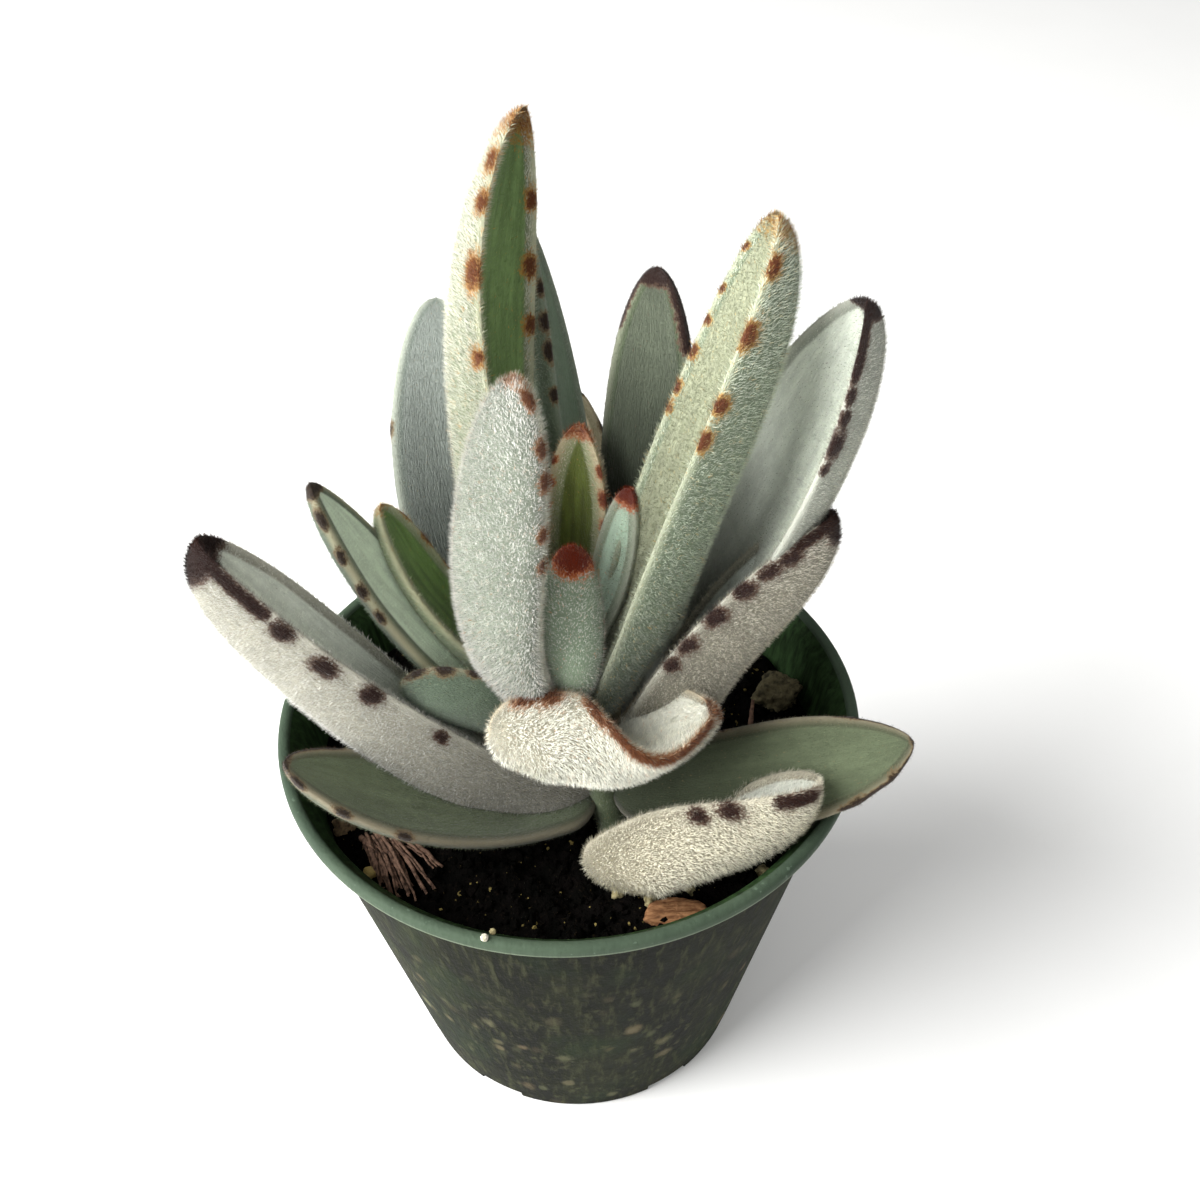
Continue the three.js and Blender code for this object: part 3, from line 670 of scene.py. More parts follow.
def felt_skin(name, felt):
    """The skin under the down: paler outside and on the rims, with lengthwise streaks in the furrow."""
    finish = Finish("skin_" + name, 0.75, 0.2, (0.18, 0.4))
    along = finish.node("ShaderNodeUVMap", {"uv_map": "OFBake"})
    streaks = finish.grain(1.0, 4.0, place=finish.stretch(34, 5, 1, along))
    patches = finish.grain(0.006)
    furrow = finish.step(finish.attribute("furrow") + (patches - 0.5) * 0.3, 0.25, 0.75)
    outside = finish.over(shade(felt.flank, 0.7), (shade(felt.flank, 0.85), patches, 0.35, 0.7, 1))
    depth = 0.3 if felt.furrow_pile < BARE_FURROW else 0.12
    inside = finish.over(shade(felt.furrow, 1 - depth),
                         (shade(felt.furrow, 1 + depth * 0.7), streaks, 0.32, 0.7, 1),
                         (shade(felt.furrow, 0.75), finish.grain(0.0025), 0.4, 0.7, 0.5))
    colour = finish.blend(furrow, outside, inside)
    colour = finish.blend(finish.attribute("rim") * 0.8, colour, felt.rim)
    colour = weathered(finish, brown_mask(finish), streaks * 0.6, colour, felt)
    nap = finish.grain(1.0, place=finish.stretch(200, 60, 1, along))
    return finish.done(colour, 0.62 + patches * 0.25, nap * 0.85 + streaks * 0.15, 0.0004)


def felt_down(name, felt):
    """The hairs: uneven in tone, darker in the furrow, cream on the rims and brown on the teeth."""
    finish = Finish("down_" + name, 0.8, 0.15, (0.08, 0.5))
    root = finish.attribute("root", "Vector")
    clumps = finish.grain(1.0, 2.0, place=finish.stretch(100, 80, 1, root))
    tone = finish.attribute("tone") * 0.45 + (clumps - 0.5) * 2.2 + 0.3
    pale = finish.blend(tone, shade(felt.down, 0.5), shade(felt.down, 1.18))
    dim = finish.blend(tone, shade(felt.furrow, 0.68), shade(felt.furrow, 1.5))
    colour = finish.over(pale, (dim, finish.attribute("furrow"), 0.2, 0.8, 1))
    rim = finish.blend(tone, shade(felt.rim, 0.7), felt.rim)
    colour = finish.blend(finish.attribute("rim") * 0.7, colour, rim)
    mask = brown_mask(finish) + (tone - 0.5) * 0.75
    return finish.done(weathered(finish, mask, tone, colour, felt), 0.7 + tone * 0.2)


def down_recipe():
    """Strews thin pointed hairs over a skin, combed towards the tip."""
    recipe = Recipe("down", Pile=12.0, Length=0.9, Width=0.1, Lift=1.45, Scatter=0.6, Seed=0)
    strewn = recipe.strew(recipe.port("Pile") * recipe.named("pile", "FLOAT"))
    normal = strewn.other("Normal")
    points = recipe.rooted(recipe.store(strewn, "tone", recipe.chance(0.0, 1.0, 3), "FLOAT"))

    rising = recipe.scale(normal, recipe.port("Lift") * recipe.chance(0.4, 1.7, 5))
    stray = recipe.scale(recipe.chance((-1.0, -1.0, -1.0), (1.0, 1.0, 1.0), 7), recipe.port("Scatter"))
    lie = recipe.vector("ADD", recipe.vector("ADD", recipe.named("tipward"), rising), stray)
    turned = recipe.node("FunctionNodeAlignRotationToVector", {"axis": "X"}, {"Vector": lie})
    turned = recipe.node("FunctionNodeAlignRotationToVector", {"axis": "Z", "pivot_axis": "X"},
                         {"Rotation": turned, "Vector": normal})

    blade = recipe.node("GeometryNodeMeshCircle", {"fill_type": "NGON"}, {"Vertices": 3, "Radius": 2 / 3})
    blade = recipe.node("GeometryNodeTransform", {}, {"Geometry": blade, "Translation": (1 / 3, 0.0, 0.0)})
    blade = recipe.store(blade, "corner", recipe.node("GeometryNodeInputPosition"))
    long = recipe.port("Length") * recipe.chance(0.55, 1.2, 9) * MM
    wide = recipe.port("Width") * (MM / 1.155)  # the blade is 1.155 wide
    size = recipe.node("ShaderNodeCombineXYZ", {}, {"X": long, "Y": wide, "Z": 1.0})
    hairs = recipe.node("GeometryNodeInstanceOnPoints", {},
                        {"Points": points, "Instance": blade, "Rotation": turned, "Scale": size})
    recipe.end(recipe.mapped(hairs, 0.004))
    return recipe


DOWN = down_recipe()
SKINS = {name: felt_skin(name, felt) for name, felt in FELTS.items()}
DOWNS = {name: felt_down(name, felt) for name, felt in FELTS.items()}


def make_leaf(leaf, seed):
    felt = FELTS[leaf.felt]
    rows, t, turn, across = leaf_rows(leaf)
    brown, swell, rim, furrow = tooth_fields(leaf, rows, t)
    rows = rows + across[:, None] * (np.sign(np.cos(turn)) * swell * TOOTH_SWELL)[..., None]
    tipward = np.gradient(rows, axis=0)
    tipward /= np.linalg.norm(tipward, axis=2, keepdims=True) + 1e-9
    # the leaf is painted darker towards its heel: partly painted shade deep in the rosette, partly its
    # thinner down
    dark, start, end = leaf.bare
    bare = np.broadcast_to((dark * (1 - smoothstep(t, start, end)))[:, None], brown.shape)
    pile = 1 + furrow * (felt.furrow_pile / felt.pile - 1)
    pile = pile * (0.4 + 0.6 * smoothstep(t, 0.02, 0.12))[:, None] + 0.5 * np.clip(brown, 0, 1)

    skin = loft(leaf.name, rows[1:-1], rows[0, 0], rows[-1, 0])

    def spread(field):
        """Ring values as the loft's points have them: rings first, then heel and tip."""
        field = np.asarray(field)
        return np.concatenate([field[1:-1].reshape(-1, *field.shape[2:]), field[[0], 0], field[[-1], 0]])

    paint(skin, brown=spread(brown), furrow=spread(furrow), rim=spread(rim), bare=spread(bare),
          pile=spread(pile), tipward=spread(tipward))
    piece = add_piece(leaf.name + "_skin", skin, SKINS[leaf.felt])
    seat(piece, "felted_leaf", leaf.name)
    hairs = DOWN.run(piece, leaf.name + "_down", DOWNS[leaf.felt], Pile=float(felt.pile),
                     Length=felt.hair, Width=felt.width, Seed=seed)
    seat(hairs, "felted_leaf")


for seed, leaf in enumerate(LEAVES):
    make_leaf(leaf, seed)


# ---- stem -----------------------------------------------------------------------------------------
def make_stem():
    """A short woolly stem with faint rings where older leaves sat."""
    t = np.linspace(0, 1, STEM_RINGS)
    turn = np.arange(STEM_AROUND) / STEM_AROUND * 2 * np.pi
    girth = np.interp(t, (0, 1), STEM_GIRTH) * quarter_round(np.minimum(t, 1 - t) / 0.1)
    girth = girth * (1 + 0.05 * np.sin(t * 40) ** 3)
    middle = STEM_FOOT + (STEM_TOP - STEM_FOOT) * t[:, None]
    ring = np.stack([np.cos(turn), np.sin(turn), 0 * turn], 1)
    rows = middle[:, None] + ring * (girth[:, None, None] * (1 + 0.04 * np.sin(3 * turn + 1))[None, :, None])
    skin = loft("stem", rows[1:-1], rows[0, 0], rows[-1, 0])
    points = (STEM_RINGS - 2) * STEM_AROUND + 2
    plain = np.zeros(points)
    # the whole stem is darkened halfway towards dark green: partly painted shade under the leaves, partly its
    # thin down
    paint(skin, brown=plain, furrow=plain, rim=plain, bare=plain + 0.5, pile=plain + 1,
          tipward=np.tile((STEM_TOP - STEM_FOOT) / np.linalg.norm(STEM_TOP - STEM_FOOT), (points, 1)))
    piece = add_piece("stem_skin", skin, SKINS["young"])
    seat(piece, "stem_skin", "stem")
    seat(DOWN.run(piece, "stem_down", DOWNS["young"], Pile=11.0, Length=0.8, Width=0.1, Seed=91), "stem_skin")


# ---- pot ------------------------------------------------------------------------------------------
def wall_radius(height):
    return np.interp(height, (0, LIP_BOTTOM), (BASE_RADIUS, NECK_RADIUS))


def pot_plastic():
    """Green moulded plastic: a clean lip with a painted highlight along its lower edge, a dark inner
    wall, and a body stained in upright streaks, with pale specks of lime low down."""
    finish = Finish("pot_plastic", 0.6, 0.06)
    height = finish.node("ShaderNodeSeparateXYZ", {}, {"Vector": finish.place}, out="Z")
    flat = finish.stretch(1, 1, 0)
    radius = finish.node("ShaderNodeVectorMath", {"operation": "LENGTH"}, {"Vector": flat}, out="Value")
    streaks = finish.grain(0.0013, 4.0, 0.66, finish.stretch(1, 1, 0.07))
    broad = finish.grain(0.011, place=finish.stretch(1, 1, 0.4))
    cloudy = finish.grain(0.02)
    crust = finish.grain(0.0026, 3.0, 0.6, finish.stretch(1, 1, 0.7))
    low = finish.step(height, 0.07, 0.03)
    body = finish.over(srgb(8, 10, 4), (srgb(23, 26, 12), broad, 0.35, 0.66, 1),
                       (srgb(60, 62, 43), streaks, 0.46, 0.74, 0.7),
                       (srgb(9, 11, 6), streaks, 0.47, 0.3, 0.8),
                       (srgb(24, 38, 18), cloudy, 0.5, 0.7, 0.5),
                       (srgb(60, 61, 40), crust, 0.58, 0.72, 0.25 + low * 0.5))
    for size, shift, share in ((0.0062, 0.003, 0.8), (0.0041, 0.011, 0.7)):
        spots = finish.node("ShaderNodeTexVoronoi", {"feature": "F1"}, {
            "Vector": finish.vector("ADD", finish.stretch(1, 1, 0.75), (shift, 0.001, 0.0)),
            "Scale": 1 / size, "Randomness": 1.0})
        luck = finish.node("ShaderNodeSeparateColor", {}, {"Color": spots.other("Color")})
        pale = finish.step(spots + (crust - 0.5) * 0.5, 0.36, 0.1) * finish.step(luck, 0.45, 0.9) * low
        tint = finish.blend(luck.other("Green"), srgb(88, 90, 66), srgb(92, 80, 60))
        body = finish.blend(pale * share, body, tint)
    on_lip = finish.step(height, (LIP_BOTTOM - 0.2) * MM, (LIP_BOTTOM + 0.2) * MM)
    # painted highlight: a paler, uneven band along the lower, rounded edge of the lip
    lip_edge_highlight = finish.step(height, (LIP_BOTTOM + 0.75) * MM, (LIP_BOTTOM + 0.35) * MM)
    lip = finish.over(srgb(54, 66, 54), (srgb(66, 79, 64), cloudy, 0.3, 0.7, 1),
                      (srgb(96, 112, 96), finish.grain(0.0012, 2.0), 0.66, 0.74, 0.5))
    lip = finish.blend(lip_edge_highlight * (0.35 + broad * 0.6), lip, srgb(118, 128, 108))
    wall = radius - height * ((NECK_RADIUS - BASE_RADIUS) / LIP_BOTTOM)
    within = finish.step(wall, (BASE_RADIUS - WALL * 0.4) * MM, (BASE_RADIUS - WALL * 0.6) * MM)
    sunk = finish.step(radius, (LIP_INNER + 0.1) * MM, (LIP_INNER - 0.1) * MM)
    inside = finish.over(srgb(22, 34, 17), (srgb(48, 70, 40), streaks, 0.3, 0.7, 1))
    colour = finish.over(finish.blend(on_lip, body, lip), (inside, within + sunk * on_lip, 0.2, 0.8, 1))
    roughness = 0.55 + streaks * 0.25 - on_lip * 0.15
    return finish.done(colour, roughness, streaks * 0.5 + crust * 0.5, 0.0004)


def make_pot():
    """The pot turned from its profile, with slots cut through the edge of its base."""
    def round_corner(radius, height, size, start):
        """Points of a quarter circle about (radius, height), from the angle `start`."""
        angles = np.radians(start + np.linspace(0, 90, 5))
        return [(radius + size * math.cos(a), height + size * math.sin(a)) for a in angles]

    profile = [(0, 0), (BASE_RADIUS - 2.5, 0)]
    profile += round_corner(BASE_RADIUS - 0.65, 0.7, 0.7, -90)
    profile += [(wall_radius(z), z) for z in np.linspace(6, LIP_BOTTOM - 0.4, 14)]
    profile += [(NECK_RADIUS + 0.25, LIP_BOTTOM)]
    profile += round_corner(RIM_RADIUS - 0.45, LIP_BOTTOM + 0.45, 0.45, -90)
    profile += round_corner(RIM_RADIUS - 0.9, POT_HEIGHT - 0.9, 0.9, 0)
    profile += round_corner(LIP_INNER + 0.9, POT_HEIGHT - 0.9, 0.9, 90)
    profile += [(wall_radius(z) - WALL, z) for z in np.linspace(LIP_BOTTOM - 0.7, FLOOR + 0.9, 14)]
    profile += [(wall_radius(FLOOR) - WALL - 0.7, FLOOR), (0, FLOOR)]
    build = bmesh.new()
    points = [build.verts.new((radius * MM, 0, z * MM)) for radius, z in profile]
    edges = [build.edges.new(pair) for pair in zip(points, points[1:])]
    bmesh.ops.spin(build, geom=points + edges, cent=(0, 0, 0), axis=(0, 0, 1), angle=2 * math.pi,
                   steps=POT_AROUND, use_merge=True)
    bmesh.ops.remove_doubles(build, verts=build.verts, dist=1e-6)
    bmesh.ops.recalc_face_normals(build, faces=build.faces)
    pot = add_piece("pot_shell", built("pot", build, False), pot_plastic())

    build = bmesh.new()
    for i in range(DRAIN_SLOTS):
        turn = Matrix.Rotation(i / DRAIN_SLOTS * math.tau, 4, "Z")
        box = Matrix.Diagonal([side * MM for side in DRAIN_SLOT] + [1])
        place = turn @ Matrix.Translation((BASE_RADIUS * MM, 0, 0)) @ box
        bmesh.ops.create_cube(build, size=1, matrix=place)
    slots = add_piece("drain_slots", built("drain_slots", build, False))
    cut = pot.modifiers.new("drain_slots", "BOOLEAN")
    cut.operation, cut.solver, cut.object = "DIFFERENCE", "EXACT", slots
    ready = pot.evaluated_get(bpy.context.evaluated_depsgraph_get())
    pot.data = bpy.data.meshes.new_from_object(ready)
    pot.modifiers.clear()
    bpy.data.objects.remove(slots)
    pot.data.shade_smooth()
    pot.data.set_sharp_from_angle(angle=math.radians(35))
    seat(pot, "pot_plastic", "pot")


# ---- soil -----------------------------------------------------------------------------------------
def soil_height(x, y):
    swell = 0.9 * math.sin(x * 0.11 + 1) * math.cos(y * 0.13) + 0.5 * math.sin(x * 0.31 + y * 0.23)
    crumbs = 0.35 * math.sin(x * 0.9 + 2) * math.sin(y * 0.8 + 1)
    return SOIL_TOP + swell + crumbs - 1.2 * (math.hypot(x, y) / NECK_RADIUS) ** 6


def on_soil(x, y, above=0.0):
    return np.array([x, y, soil_height(x, y) + above])


def peat():
    """Near-black peat with brown fibres and a few pale specks."""
    finish = Finish("peat", 0.95, 0.04)
    clods = finish.grain(0.003, 4.0)
    specks = finish.grain(0.0007, 2.0)
    colour = finish.over(srgb(2, 2, 1), (srgb(8, 6, 5), clods, 0.35, 0.7, 1),
                         (srgb(24, 18, 12), specks, 0.6, 0.7, 0.6),
                         (srgb(104, 92, 54), specks, 0.74, 0.78, 0.8))
    return finish.done(colour, 0.85 + clods * 0.15, clods * 0.4 + specks * 0.6, 0.0009)


def crumb_recipe():
    """Strews small lumps over a surface, each squashed and turned its own way."""
    recipe = Recipe("crumbs", Count=0.3, Small=0.3, Large=1.2, Seed=0)
    points = recipe.rooted(recipe.strew(recipe.port("Count") * recipe.named("open", "FLOAT")))
    lump = recipe.node("GeometryNodeMeshIcoSphere", {}, {"Radius": 1.0, "Subdivisions": 1}, out="Mesh")
    bent = recipe.chance((-0.25, -0.25, -0.25), (0.25, 0.25, 0.25), 4)
    lump = recipe.node("GeometryNodeSetPosition", {}, {"Geometry": lump, "Offset": bent})
    lump = recipe.store(lump, "corner", recipe.node("GeometryNodeInputPosition"))
    spread = recipe.chance(0.0, 1.0, 6)
    span = recipe.port("Large") - recipe.port("Small")
    size = (recipe.port("Small") + spread * spread * spread * span) * MM
    crumbs = recipe.node("GeometryNodeInstanceOnPoints", {}, {
        "Points": points, "Instance": lump,
        "Rotation": recipe.chance((0.0, 0.0, 0.0), (6.28, 6.28, 6.28), 9),
        "Scale": recipe.scale(recipe.chance((0.6, 0.5, 0.4), (1.2, 1.0, 0.9), 8), size)})
    recipe.end(recipe.mapped(crumbs, 0.003))
    return recipe


def make_soil():
    """A plug of peat that fills the pot, with a cloddy top under loose crumbs and grains."""
    rim = wall_radius(SOIL_TOP) - WALL - SOIL_GAP
    bottom = FLOOR + SOIL_GAP
    build = bmesh.new()
    turn = [j / SOIL_AROUND * 2 * math.pi for j in range(SOIL_AROUND)]

    def ring_at(radius, height=None):
        row = []
        for a in turn:
            x, y = radius * math.cos(a), radius * math.sin(a)
            z = height
            if z is None:
                clods = noise.fractal(Vector((x, y, 3)) * 0.35, 0.8, 2.1, 4) * 0.9
                z = soil_height(x, y) + clods * min(1, (rim - radius) / 3 + 0.15)
            row.append(build.verts.new((x * MM, y * MM, z * MM)))
        return row

    rows = [ring_at(rim * (i / SOIL_RINGS)) for i in range(1, SOIL_RINGS + 1)]
    rows += [ring_at(wall_radius(z) - WALL - SOIL_GAP, z) for z in (60, 40, 20, bottom + 2)]
    rows.append(ring_at(wall_radius(bottom) - WALL - 1, bottom))
    crown = build.verts.new((0, 0, soil_height(0, 0) * MM))
    foot = build.verts.new((0, 0, bottom * MM))
    for j in range(SOIL_AROUND):
        k = (j + 1) % SOIL_AROUND
        build.faces.new((crown, rows[0][j], rows[0][k]))
        build.faces.new((foot, rows[-1][k], rows[-1][j]))
        for above, below in zip(rows, rows[1:]):
            build.faces.new((above[j], below[j], below[k], above[k]))
    bmesh.ops.recalc_face_normals(build, faces=build.faces)
    bake = build.loops.layers.uv.new("OFBake")
    for face in build.faces:
        top = face.calc_center_median().z > (SOIL_TOP - 5) * MM
        for loop in face.loops:
            x, y, z = loop.vert.co / MM
            if top:
                loop[bake].uv = [SOIL_TOP_MAP[0] + SOIL_TOP_MAP[1] * side / rim for side in (x, y)]
            else:
                turned = math.atan2(y, x) / math.tau + 0.5
                loop[bake].uv = (SOIL_WALL_MAP[0] + SOIL_WALL_MAP[1] * turned, z / POT_HEIGHT)
    mesh = built("soil", build)
    place = np.empty(len(mesh.vertices) * 3)
    mesh.vertices.foreach_get("co", place)
    place = place.reshape(-1, 3) / MM
    top = place[:, 2] > SOIL_TOP - 7.5
    clear = np.hypot(place[:, 0], place[:, 1]) < rim - 1.2
    paint(mesh, open=np.where(top & clear, 1.0, 0.0))
    dark = peat()
    soil = add_piece("soil_plug", mesh, dark)
    seat(soil, "peat", "soil")
    crumbs = crumb_recipe()
    seat(crumbs.run(soil, "soil_crumbs", dark, Count=0.6, Small=0.25, Large=1.5, Seed=5), "peat")
    grains = litter_stone("pale_grains", (124, 110, 62), (66, 56, 30))
    seat(crumbs.run(soil, "soil_grains", grains, Count=0.06, Small=0.16, Large=0.62, Seed=11), "perlite")


# ---- litter on the soil ---------------------------------------------------------------------------
def litter_stone(name, pale, dark, lump=0.0016):
    """Porous mineral: pale with dark pores, about `lump` metres apart, and finer pits."""
    finish = Finish(name, 0.9, 0.2)
    pores = finish.grain(lump, 4.0, 0.65)
    pits = finish.grain(lump * 0.3, 2.0)
    dark = srgb(*dark)
    colour = finish.over(dark, (srgb(*pale), pores, 0.32, 0.62, 1), (shade(dark, 0.6), pits, 0.62, 0.72, 0.6))
    return finish.done(colour, 0.8 + pores * 0.2, pores * 0.6 + pits * 0.4, 0.0006)


def swollen_ball(name, subdivisions, shape):
    """A ball with each of its points moved to where `shape` puts it."""
    build = bmesh.new()
    bmesh.ops.create_icosphere(build, subdivisions=subdivisions, radius=1)
    for vert in build.verts:
        vert.co = shape(vert.co.copy()) * MM
    return built(name, build)


def make_lump(node, centre, radii, turn, slot, material, rough=0.14):
    """A stone or grain: a ball swollen and pitted by noise, half sunk in the soil."""
    place = on_soil(*centre)
    spin = Matrix.Rotation(math.radians(turn), 3, "Z")

    def shape(point):
        wave = math.sin(3.1 * point.x + place[0]) * math.sin(3.7 * point.y + place[1] + 2 * point.z)
        swell = 1 + 0.16 * wave + rough * noise.fractal(point * 2.6 + Vector(place), 0.7, 2.2, 5)
        return spin @ Vector([p * r * swell for p, r in zip(point, radii)]) + Vector(place)

    mesh = swollen_ball(node, 5 if radii[0] > 3 else 4, shape)
    seat(add_piece(node + "_stone", mesh, material), slot, node)


def make_bead(name, place, radius, material):
    """A single grain that has stayed on the pot's lip."""
    def shape(point):
        return point * (radius * (1 + 0.2 * noise.fractal(point * 1.7, 0.7, 2.2, 3))) + Vector(place)

    seat(add_piece(name, swollen_ball(name, 3, shape), material), "perlite")


def bark():
    finish = Finish("bark", 0.85, 0.2)
    fibres = finish.grain(0.0006, 4.0, place=finish.stretch(0.25, 1, 1))
    patches = finish.grain(0.0022)
    colour = finish.over(srgb(90, 57, 33), (srgb(146, 106, 72), fibres, 0.3, 0.7, 1),
                         (srgb(54, 32, 19), patches, 0.62, 0.75, 0.6))
    return finish.done(colour, 0.75 + fibres * 0.2, fibres, 0.0004)


def make_chip():
    """A chip of bark: an uneven slab with worn edges, lying tilted on the soil."""
    corners = np.array(CHIP_OUTLINE + CHIP_OUTLINE[:1])
    spans = np.concatenate([[0], np.cumsum(np.linalg.norm(np.diff(corners, axis=0), axis=1))])
    walk = np.linspace(0, spans[-1], 73)[:-1]
    edge = np.stack([np.interp(walk, spans, corners[:, axis]) for axis in (0, 1)], 1)
    edge = (edge + np.roll(edge, 1, 0) + np.roll(edge, -1, 0)) / 3
    lay = np.array(Matrix.Rotation(math.radians(-4), 3, "Z") @ Matrix.Rotation(math.radians(10), 3, "X"))
    rows = []
    for inset, height in ((0.12, -1.2), (0.4, -1.2), (0.7, -1.2), (0.9, -1.15), (0.97, -0.9), (1, -0.3),
                          (1, 0.3), (0.97, 0.9), (0.9, 1.15), (0.7, 1.2), (0.4, 1.2), (0.12, 1.2)):
        row = []
        for x, y in edge * inset:
            ridge = noise.fractal(Vector((x * 0.35, y * 1.2, height)), 0.7, 2.2, 4)
            row.append((x * (1 + 0.03 * ridge), y * (1 + 0.05 * ridge), height + 0.28 * ridge))
        rows.append(row)
    rows = np.array(rows) @ lay.T + on_soil(16.2, -37.4, 0.7)
    mesh = loft("bark_chip", rows, rows[0].mean(0), rows[-1].mean(0))
    seat(add_piece("bark_chip_slab", mesh, bark()), "bark", "bark_chip")


def straw():
    finish = Finish("dry_straw", 0.8, 0.25)
    fibres = finish.grain(0.0009, 4.0)
    colour = finish.over(srgb(62, 44, 34), (srgb(134, 104, 86), fibres, 0.3, 0.7, 1))
    return finish.done(colour, 0.7 + fibres * 0.2, fibres, 0.0003)


def strand_recipe():
    """Gives every strand of a curve a round, tapering body."""
    recipe = Recipe("strands", Sides=7)
    ring = recipe.node("GeometryNodeCurvePrimitiveCircle", {},
                       {"Resolution": recipe.port("Sides"), "Radius": 1.0})
    body = recipe.node("GeometryNodeCurveToMesh", {},
                       {"Curve": recipe.port("Geometry"), "Profile Curve": ring, "Fill Caps": True,
                        "Scale": recipe.node("GeometryNodeInputRadius")})
    recipe.end(recipe.node("GeometryNodeRealizeInstances", {}, {"Geometry": body}))
    return recipe


def make_strands(node, piece_name, strands, material, recipe):
    """Strands of (points, radii) as one piece; each is a poly line thickened by the recipe."""
    curve = bpy.data.curves.new(node, "CURVE")
    curve.dimensions = "3D"
    for points, radii in strands:
        spline = curve.splines.new("POLY")
        spline.points.add(len(points) - 1)
        for target, point, radius in zip(spline.points, points, radii):
            target.co = (*(np.asarray(point) * MM), 1)
            target.radius = radius * MM
    guide = bpy.data.objects.new(node + "_guide", curve)
    bpy.context.scene.collection.objects.link(guide)
    piece = recipe.run(guide, piece_name, material)
    bpy.data.objects.remove(guide)
    outward(piece.data)
    return piece


def arched(start, end, lift, radius, luck, wander=0.25, steps=12):
    """A strand from start to end, raised in its middle, wandering a little and tapering."""
    t = np.linspace(0, 1, steps)[:, None]
    points = start + (end - start) * t + np.array([0, 0, 1]) * lift * np.sin(np.pi * t)
    points[1:-1] += luck.normal(0, wander, (steps - 2, 3)) * 0.4
    return points, radius * np.linspace(1, 0.45, steps)


STONES = {name: litter_stone(name, *row) for name, row in {
    "pumice": ((102, 95, 70), (46, 42, 28), 0.0022),
    "perlite": ((160, 150, 112), (98, 88, 60), 0.001),
    "sandstone": ((134, 112, 86), (84, 68, 50)),
    "fertiliser": ((208, 184, 118), (158, 132, 74), 0.003),
    "chalk_grain": ((216, 212, 194), (156, 150, 124), 0.001),
}.items()}

# node: stone, slot, place (across, back, above the soil), radii, turn and roughness
LUMPS = {
    "pumice_lump": ("pumice", "pumice", (39.4, 10.4, 1.6), (4.3, 3.6, 3.4), 20, 0.22),
    "pebble": ("sandstone", "pumice", (-39.8, -15.4, 0.8), (2.1, 1.9, 1.7), 30),
    "perlite_right": ("perlite", "perlite", (31.1, -29.4, 0.3), (1.3, 1.1, 1), 0),
    "perlite_front_left": ("perlite", "perlite", (6.8, -32.4, 0.3), (1.2, 1, 0.9), 40),
    "perlite_front": ("perlite", "perlite", (12, -34.5, 0.3), (1.4, 1.1, 1), 80),
    "perlite_front_right": ("perlite", "perlite", (18.6, -32.4, 0.3), (1.1, 1, 0.9), 10),
    "pellet": ("fertiliser", "perlite", (-34.4, -26.3, 0.4), (1.3, 1.3, 1.2), 0, 0.05),
}


def make_litter():
    for node, (stone, slot, centre, radii, turn, *rough) in LUMPS.items():
        make_lump(node, centre, radii, turn, slot, STONES[stone], *rough)
    make_bead("rim_grain_pale", (-14.1, -48.2, 80.3), 0.6, STONES["chalk_grain"])
    make_bead("rim_grain_dark", (-12.9, -47, 80), 0.5, STONES["perlite"])
    brown = straw()
    recipe = strand_recipe()
    luck = np.random.default_rng(7)
    twig = [arched(on_soil(33.2, 2.4, 0.6), on_soil(34.4, 8.2, 2.6), 0, 0.65, luck, 0.15)]
    seat(make_strands("twig", "twig_strand", twig, brown, recipe), "dry_straw", "twig")
    roots = []
    for i, (x, y) in enumerate(ROOT_ENDS):
        knot = on_soil(ROOT_KNOT[0] - 2.8 + 5.4 * i / (len(ROOT_ENDS) - 1), ROOT_KNOT[1], 0.8)
        roots.append(arched(knot, on_soil(x, y, 0.15), 1.6, 0.55, luck))
        for _ in range(5):
            start = knot + luck.normal(0, 0.6, 3)
            end = on_soil(x + luck.normal(0, 1), y + luck.normal(0.4, 1), 0.2)
            roots.append(arched(start, end, luck.uniform(1, 2.2), luck.uniform(0.2, 0.4), luck))
    seat(make_strands("dry_roots", "dry_roots_tuft", roots, brown, recipe), "dry_straw", "dry_roots")


make_stem()
make_pot()
make_soil()
make_chip()
make_litter()


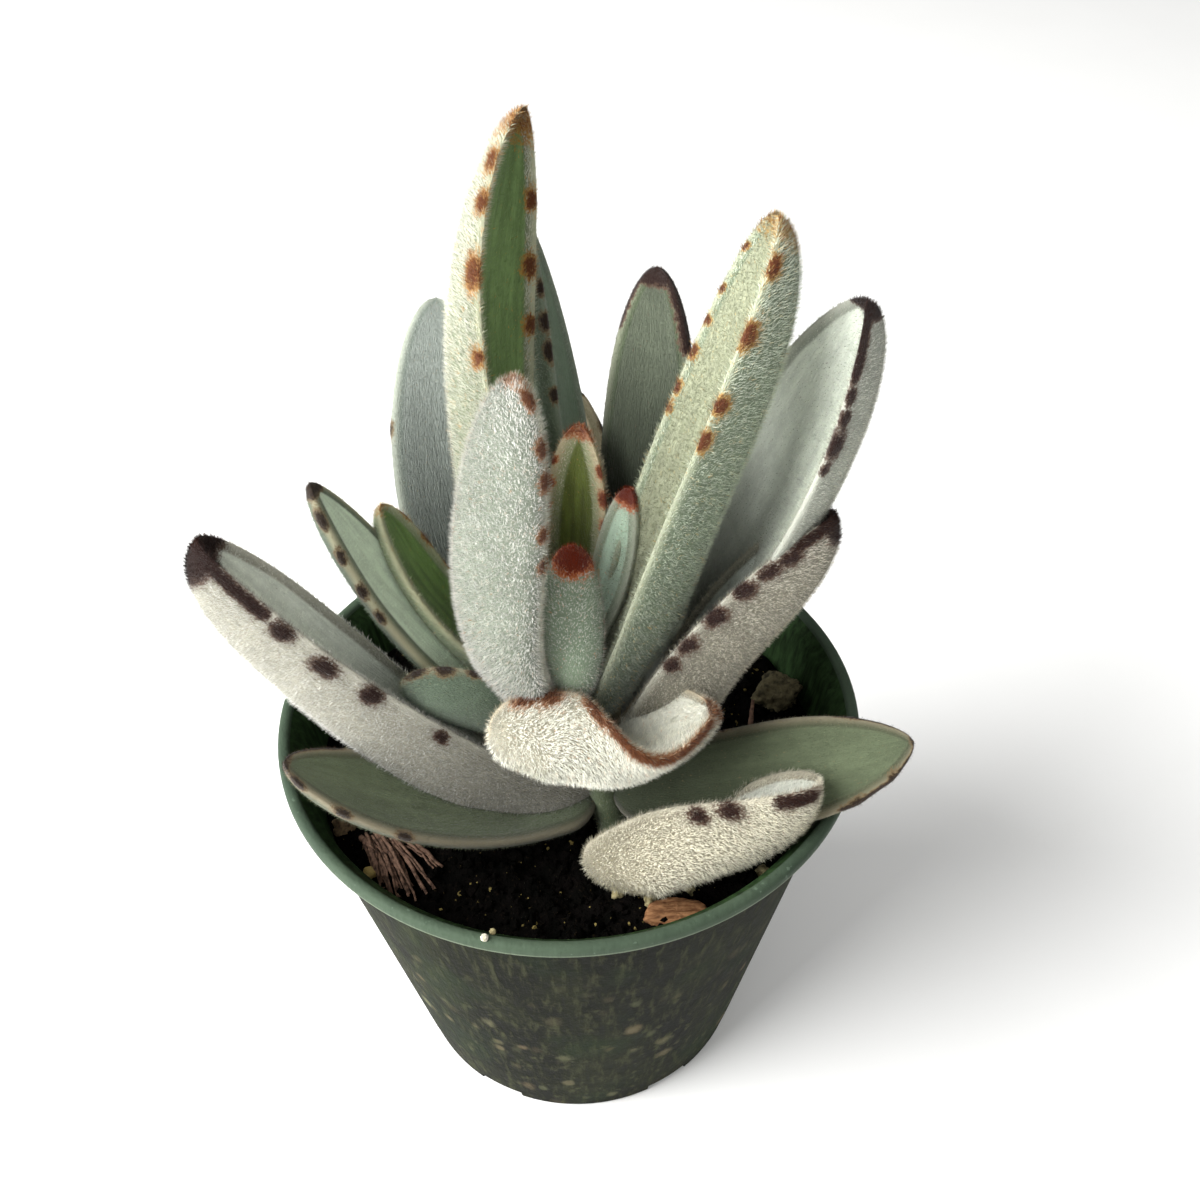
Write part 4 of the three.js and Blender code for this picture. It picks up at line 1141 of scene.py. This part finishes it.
# ---- floor, light and camera ----------------------------------------------------------------------
ROOM_LIGHT = 0.46
SOFTBOXES = {  # place, size and watts
    "key": ((-0.84, -0.26, 0.6), 1.1, 35),
    "front": ((0.1, -0.9, 0.55), 0.7, 2),
}
LIT_POINT = Vector((0, 0, 0.1))
FLOOR_RADIUS = 4
FLOOR_DROP = 0.0003
CAMERA_PLACE = (0, -0.168107, 0.25408)
CAMERA_ANGLES = (2, -41.7, -1.07)  # yaw, pitch and roll
CAMERA_LENS = 40.89
SENSOR_WIDTH = 36


def make_stage():
    scene = bpy.context.scene
    finish = Finish("pale_floor", 0.7)
    tone = finish.grain(0.05, 2.0)
    pale = finish.done(finish.blend(tone, srgb(246, 246, 244), srgb(250, 250, 248)))
    build = bmesh.new()
    bmesh.ops.create_circle(build, cap_ends=True, segments=96, radius=FLOOR_RADIUS)
    for vert in build.verts:
        vert.co.z = -FLOOR_DROP
    add_piece("floor", built("floor", build, False), pale)

    scene.world = bpy.data.worlds.new("soft_room")
    scene.world.use_nodes = True
    background = scene.world.node_tree.nodes["Background"].inputs
    background["Color"].default_value = (1, 1, 1, 1)
    background["Strength"].default_value = ROOM_LIGHT

    for name, (place, size, power) in SOFTBOXES.items():
        light = bpy.data.lights.new(name, "AREA")
        light.shape, light.size, light.energy = "DISK", size, power
        lamp = bpy.data.objects.new(name, light)
        lamp.location = place
        lamp.rotation_mode = "QUATERNION"
        lamp.rotation_quaternion = (LIT_POINT - Vector(place)).to_track_quat("-Z", "Y")
        scene.collection.objects.link(lamp)


def make_camera():
    yaw, pitch, roll = map(math.radians, CAMERA_ANGLES)
    ahead = Vector((math.sin(yaw) * math.cos(pitch), math.cos(yaw) * math.cos(pitch), math.sin(pitch)))
    level = Vector((math.cos(yaw), -math.sin(yaw), 0))
    over = level.cross(ahead)
    right = level * math.cos(roll) + over * math.sin(roll)
    up = over * math.cos(roll) - level * math.sin(roll)
    camera = bpy.data.objects.new("camera", bpy.data.cameras.new("camera"))
    camera.data.lens, camera.data.sensor_width = CAMERA_LENS, SENSOR_WIDTH
    turn = Matrix((right, up, -ahead)).transposed().to_4x4()
    camera.matrix_world = Matrix.Translation(CAMERA_PLACE) @ turn
    bpy.context.scene.collection.objects.link(camera)
    bpy.context.scene.camera = camera


make_stage()
make_camera()
bpy.context.scene.view_settings.view_transform = "Standard"
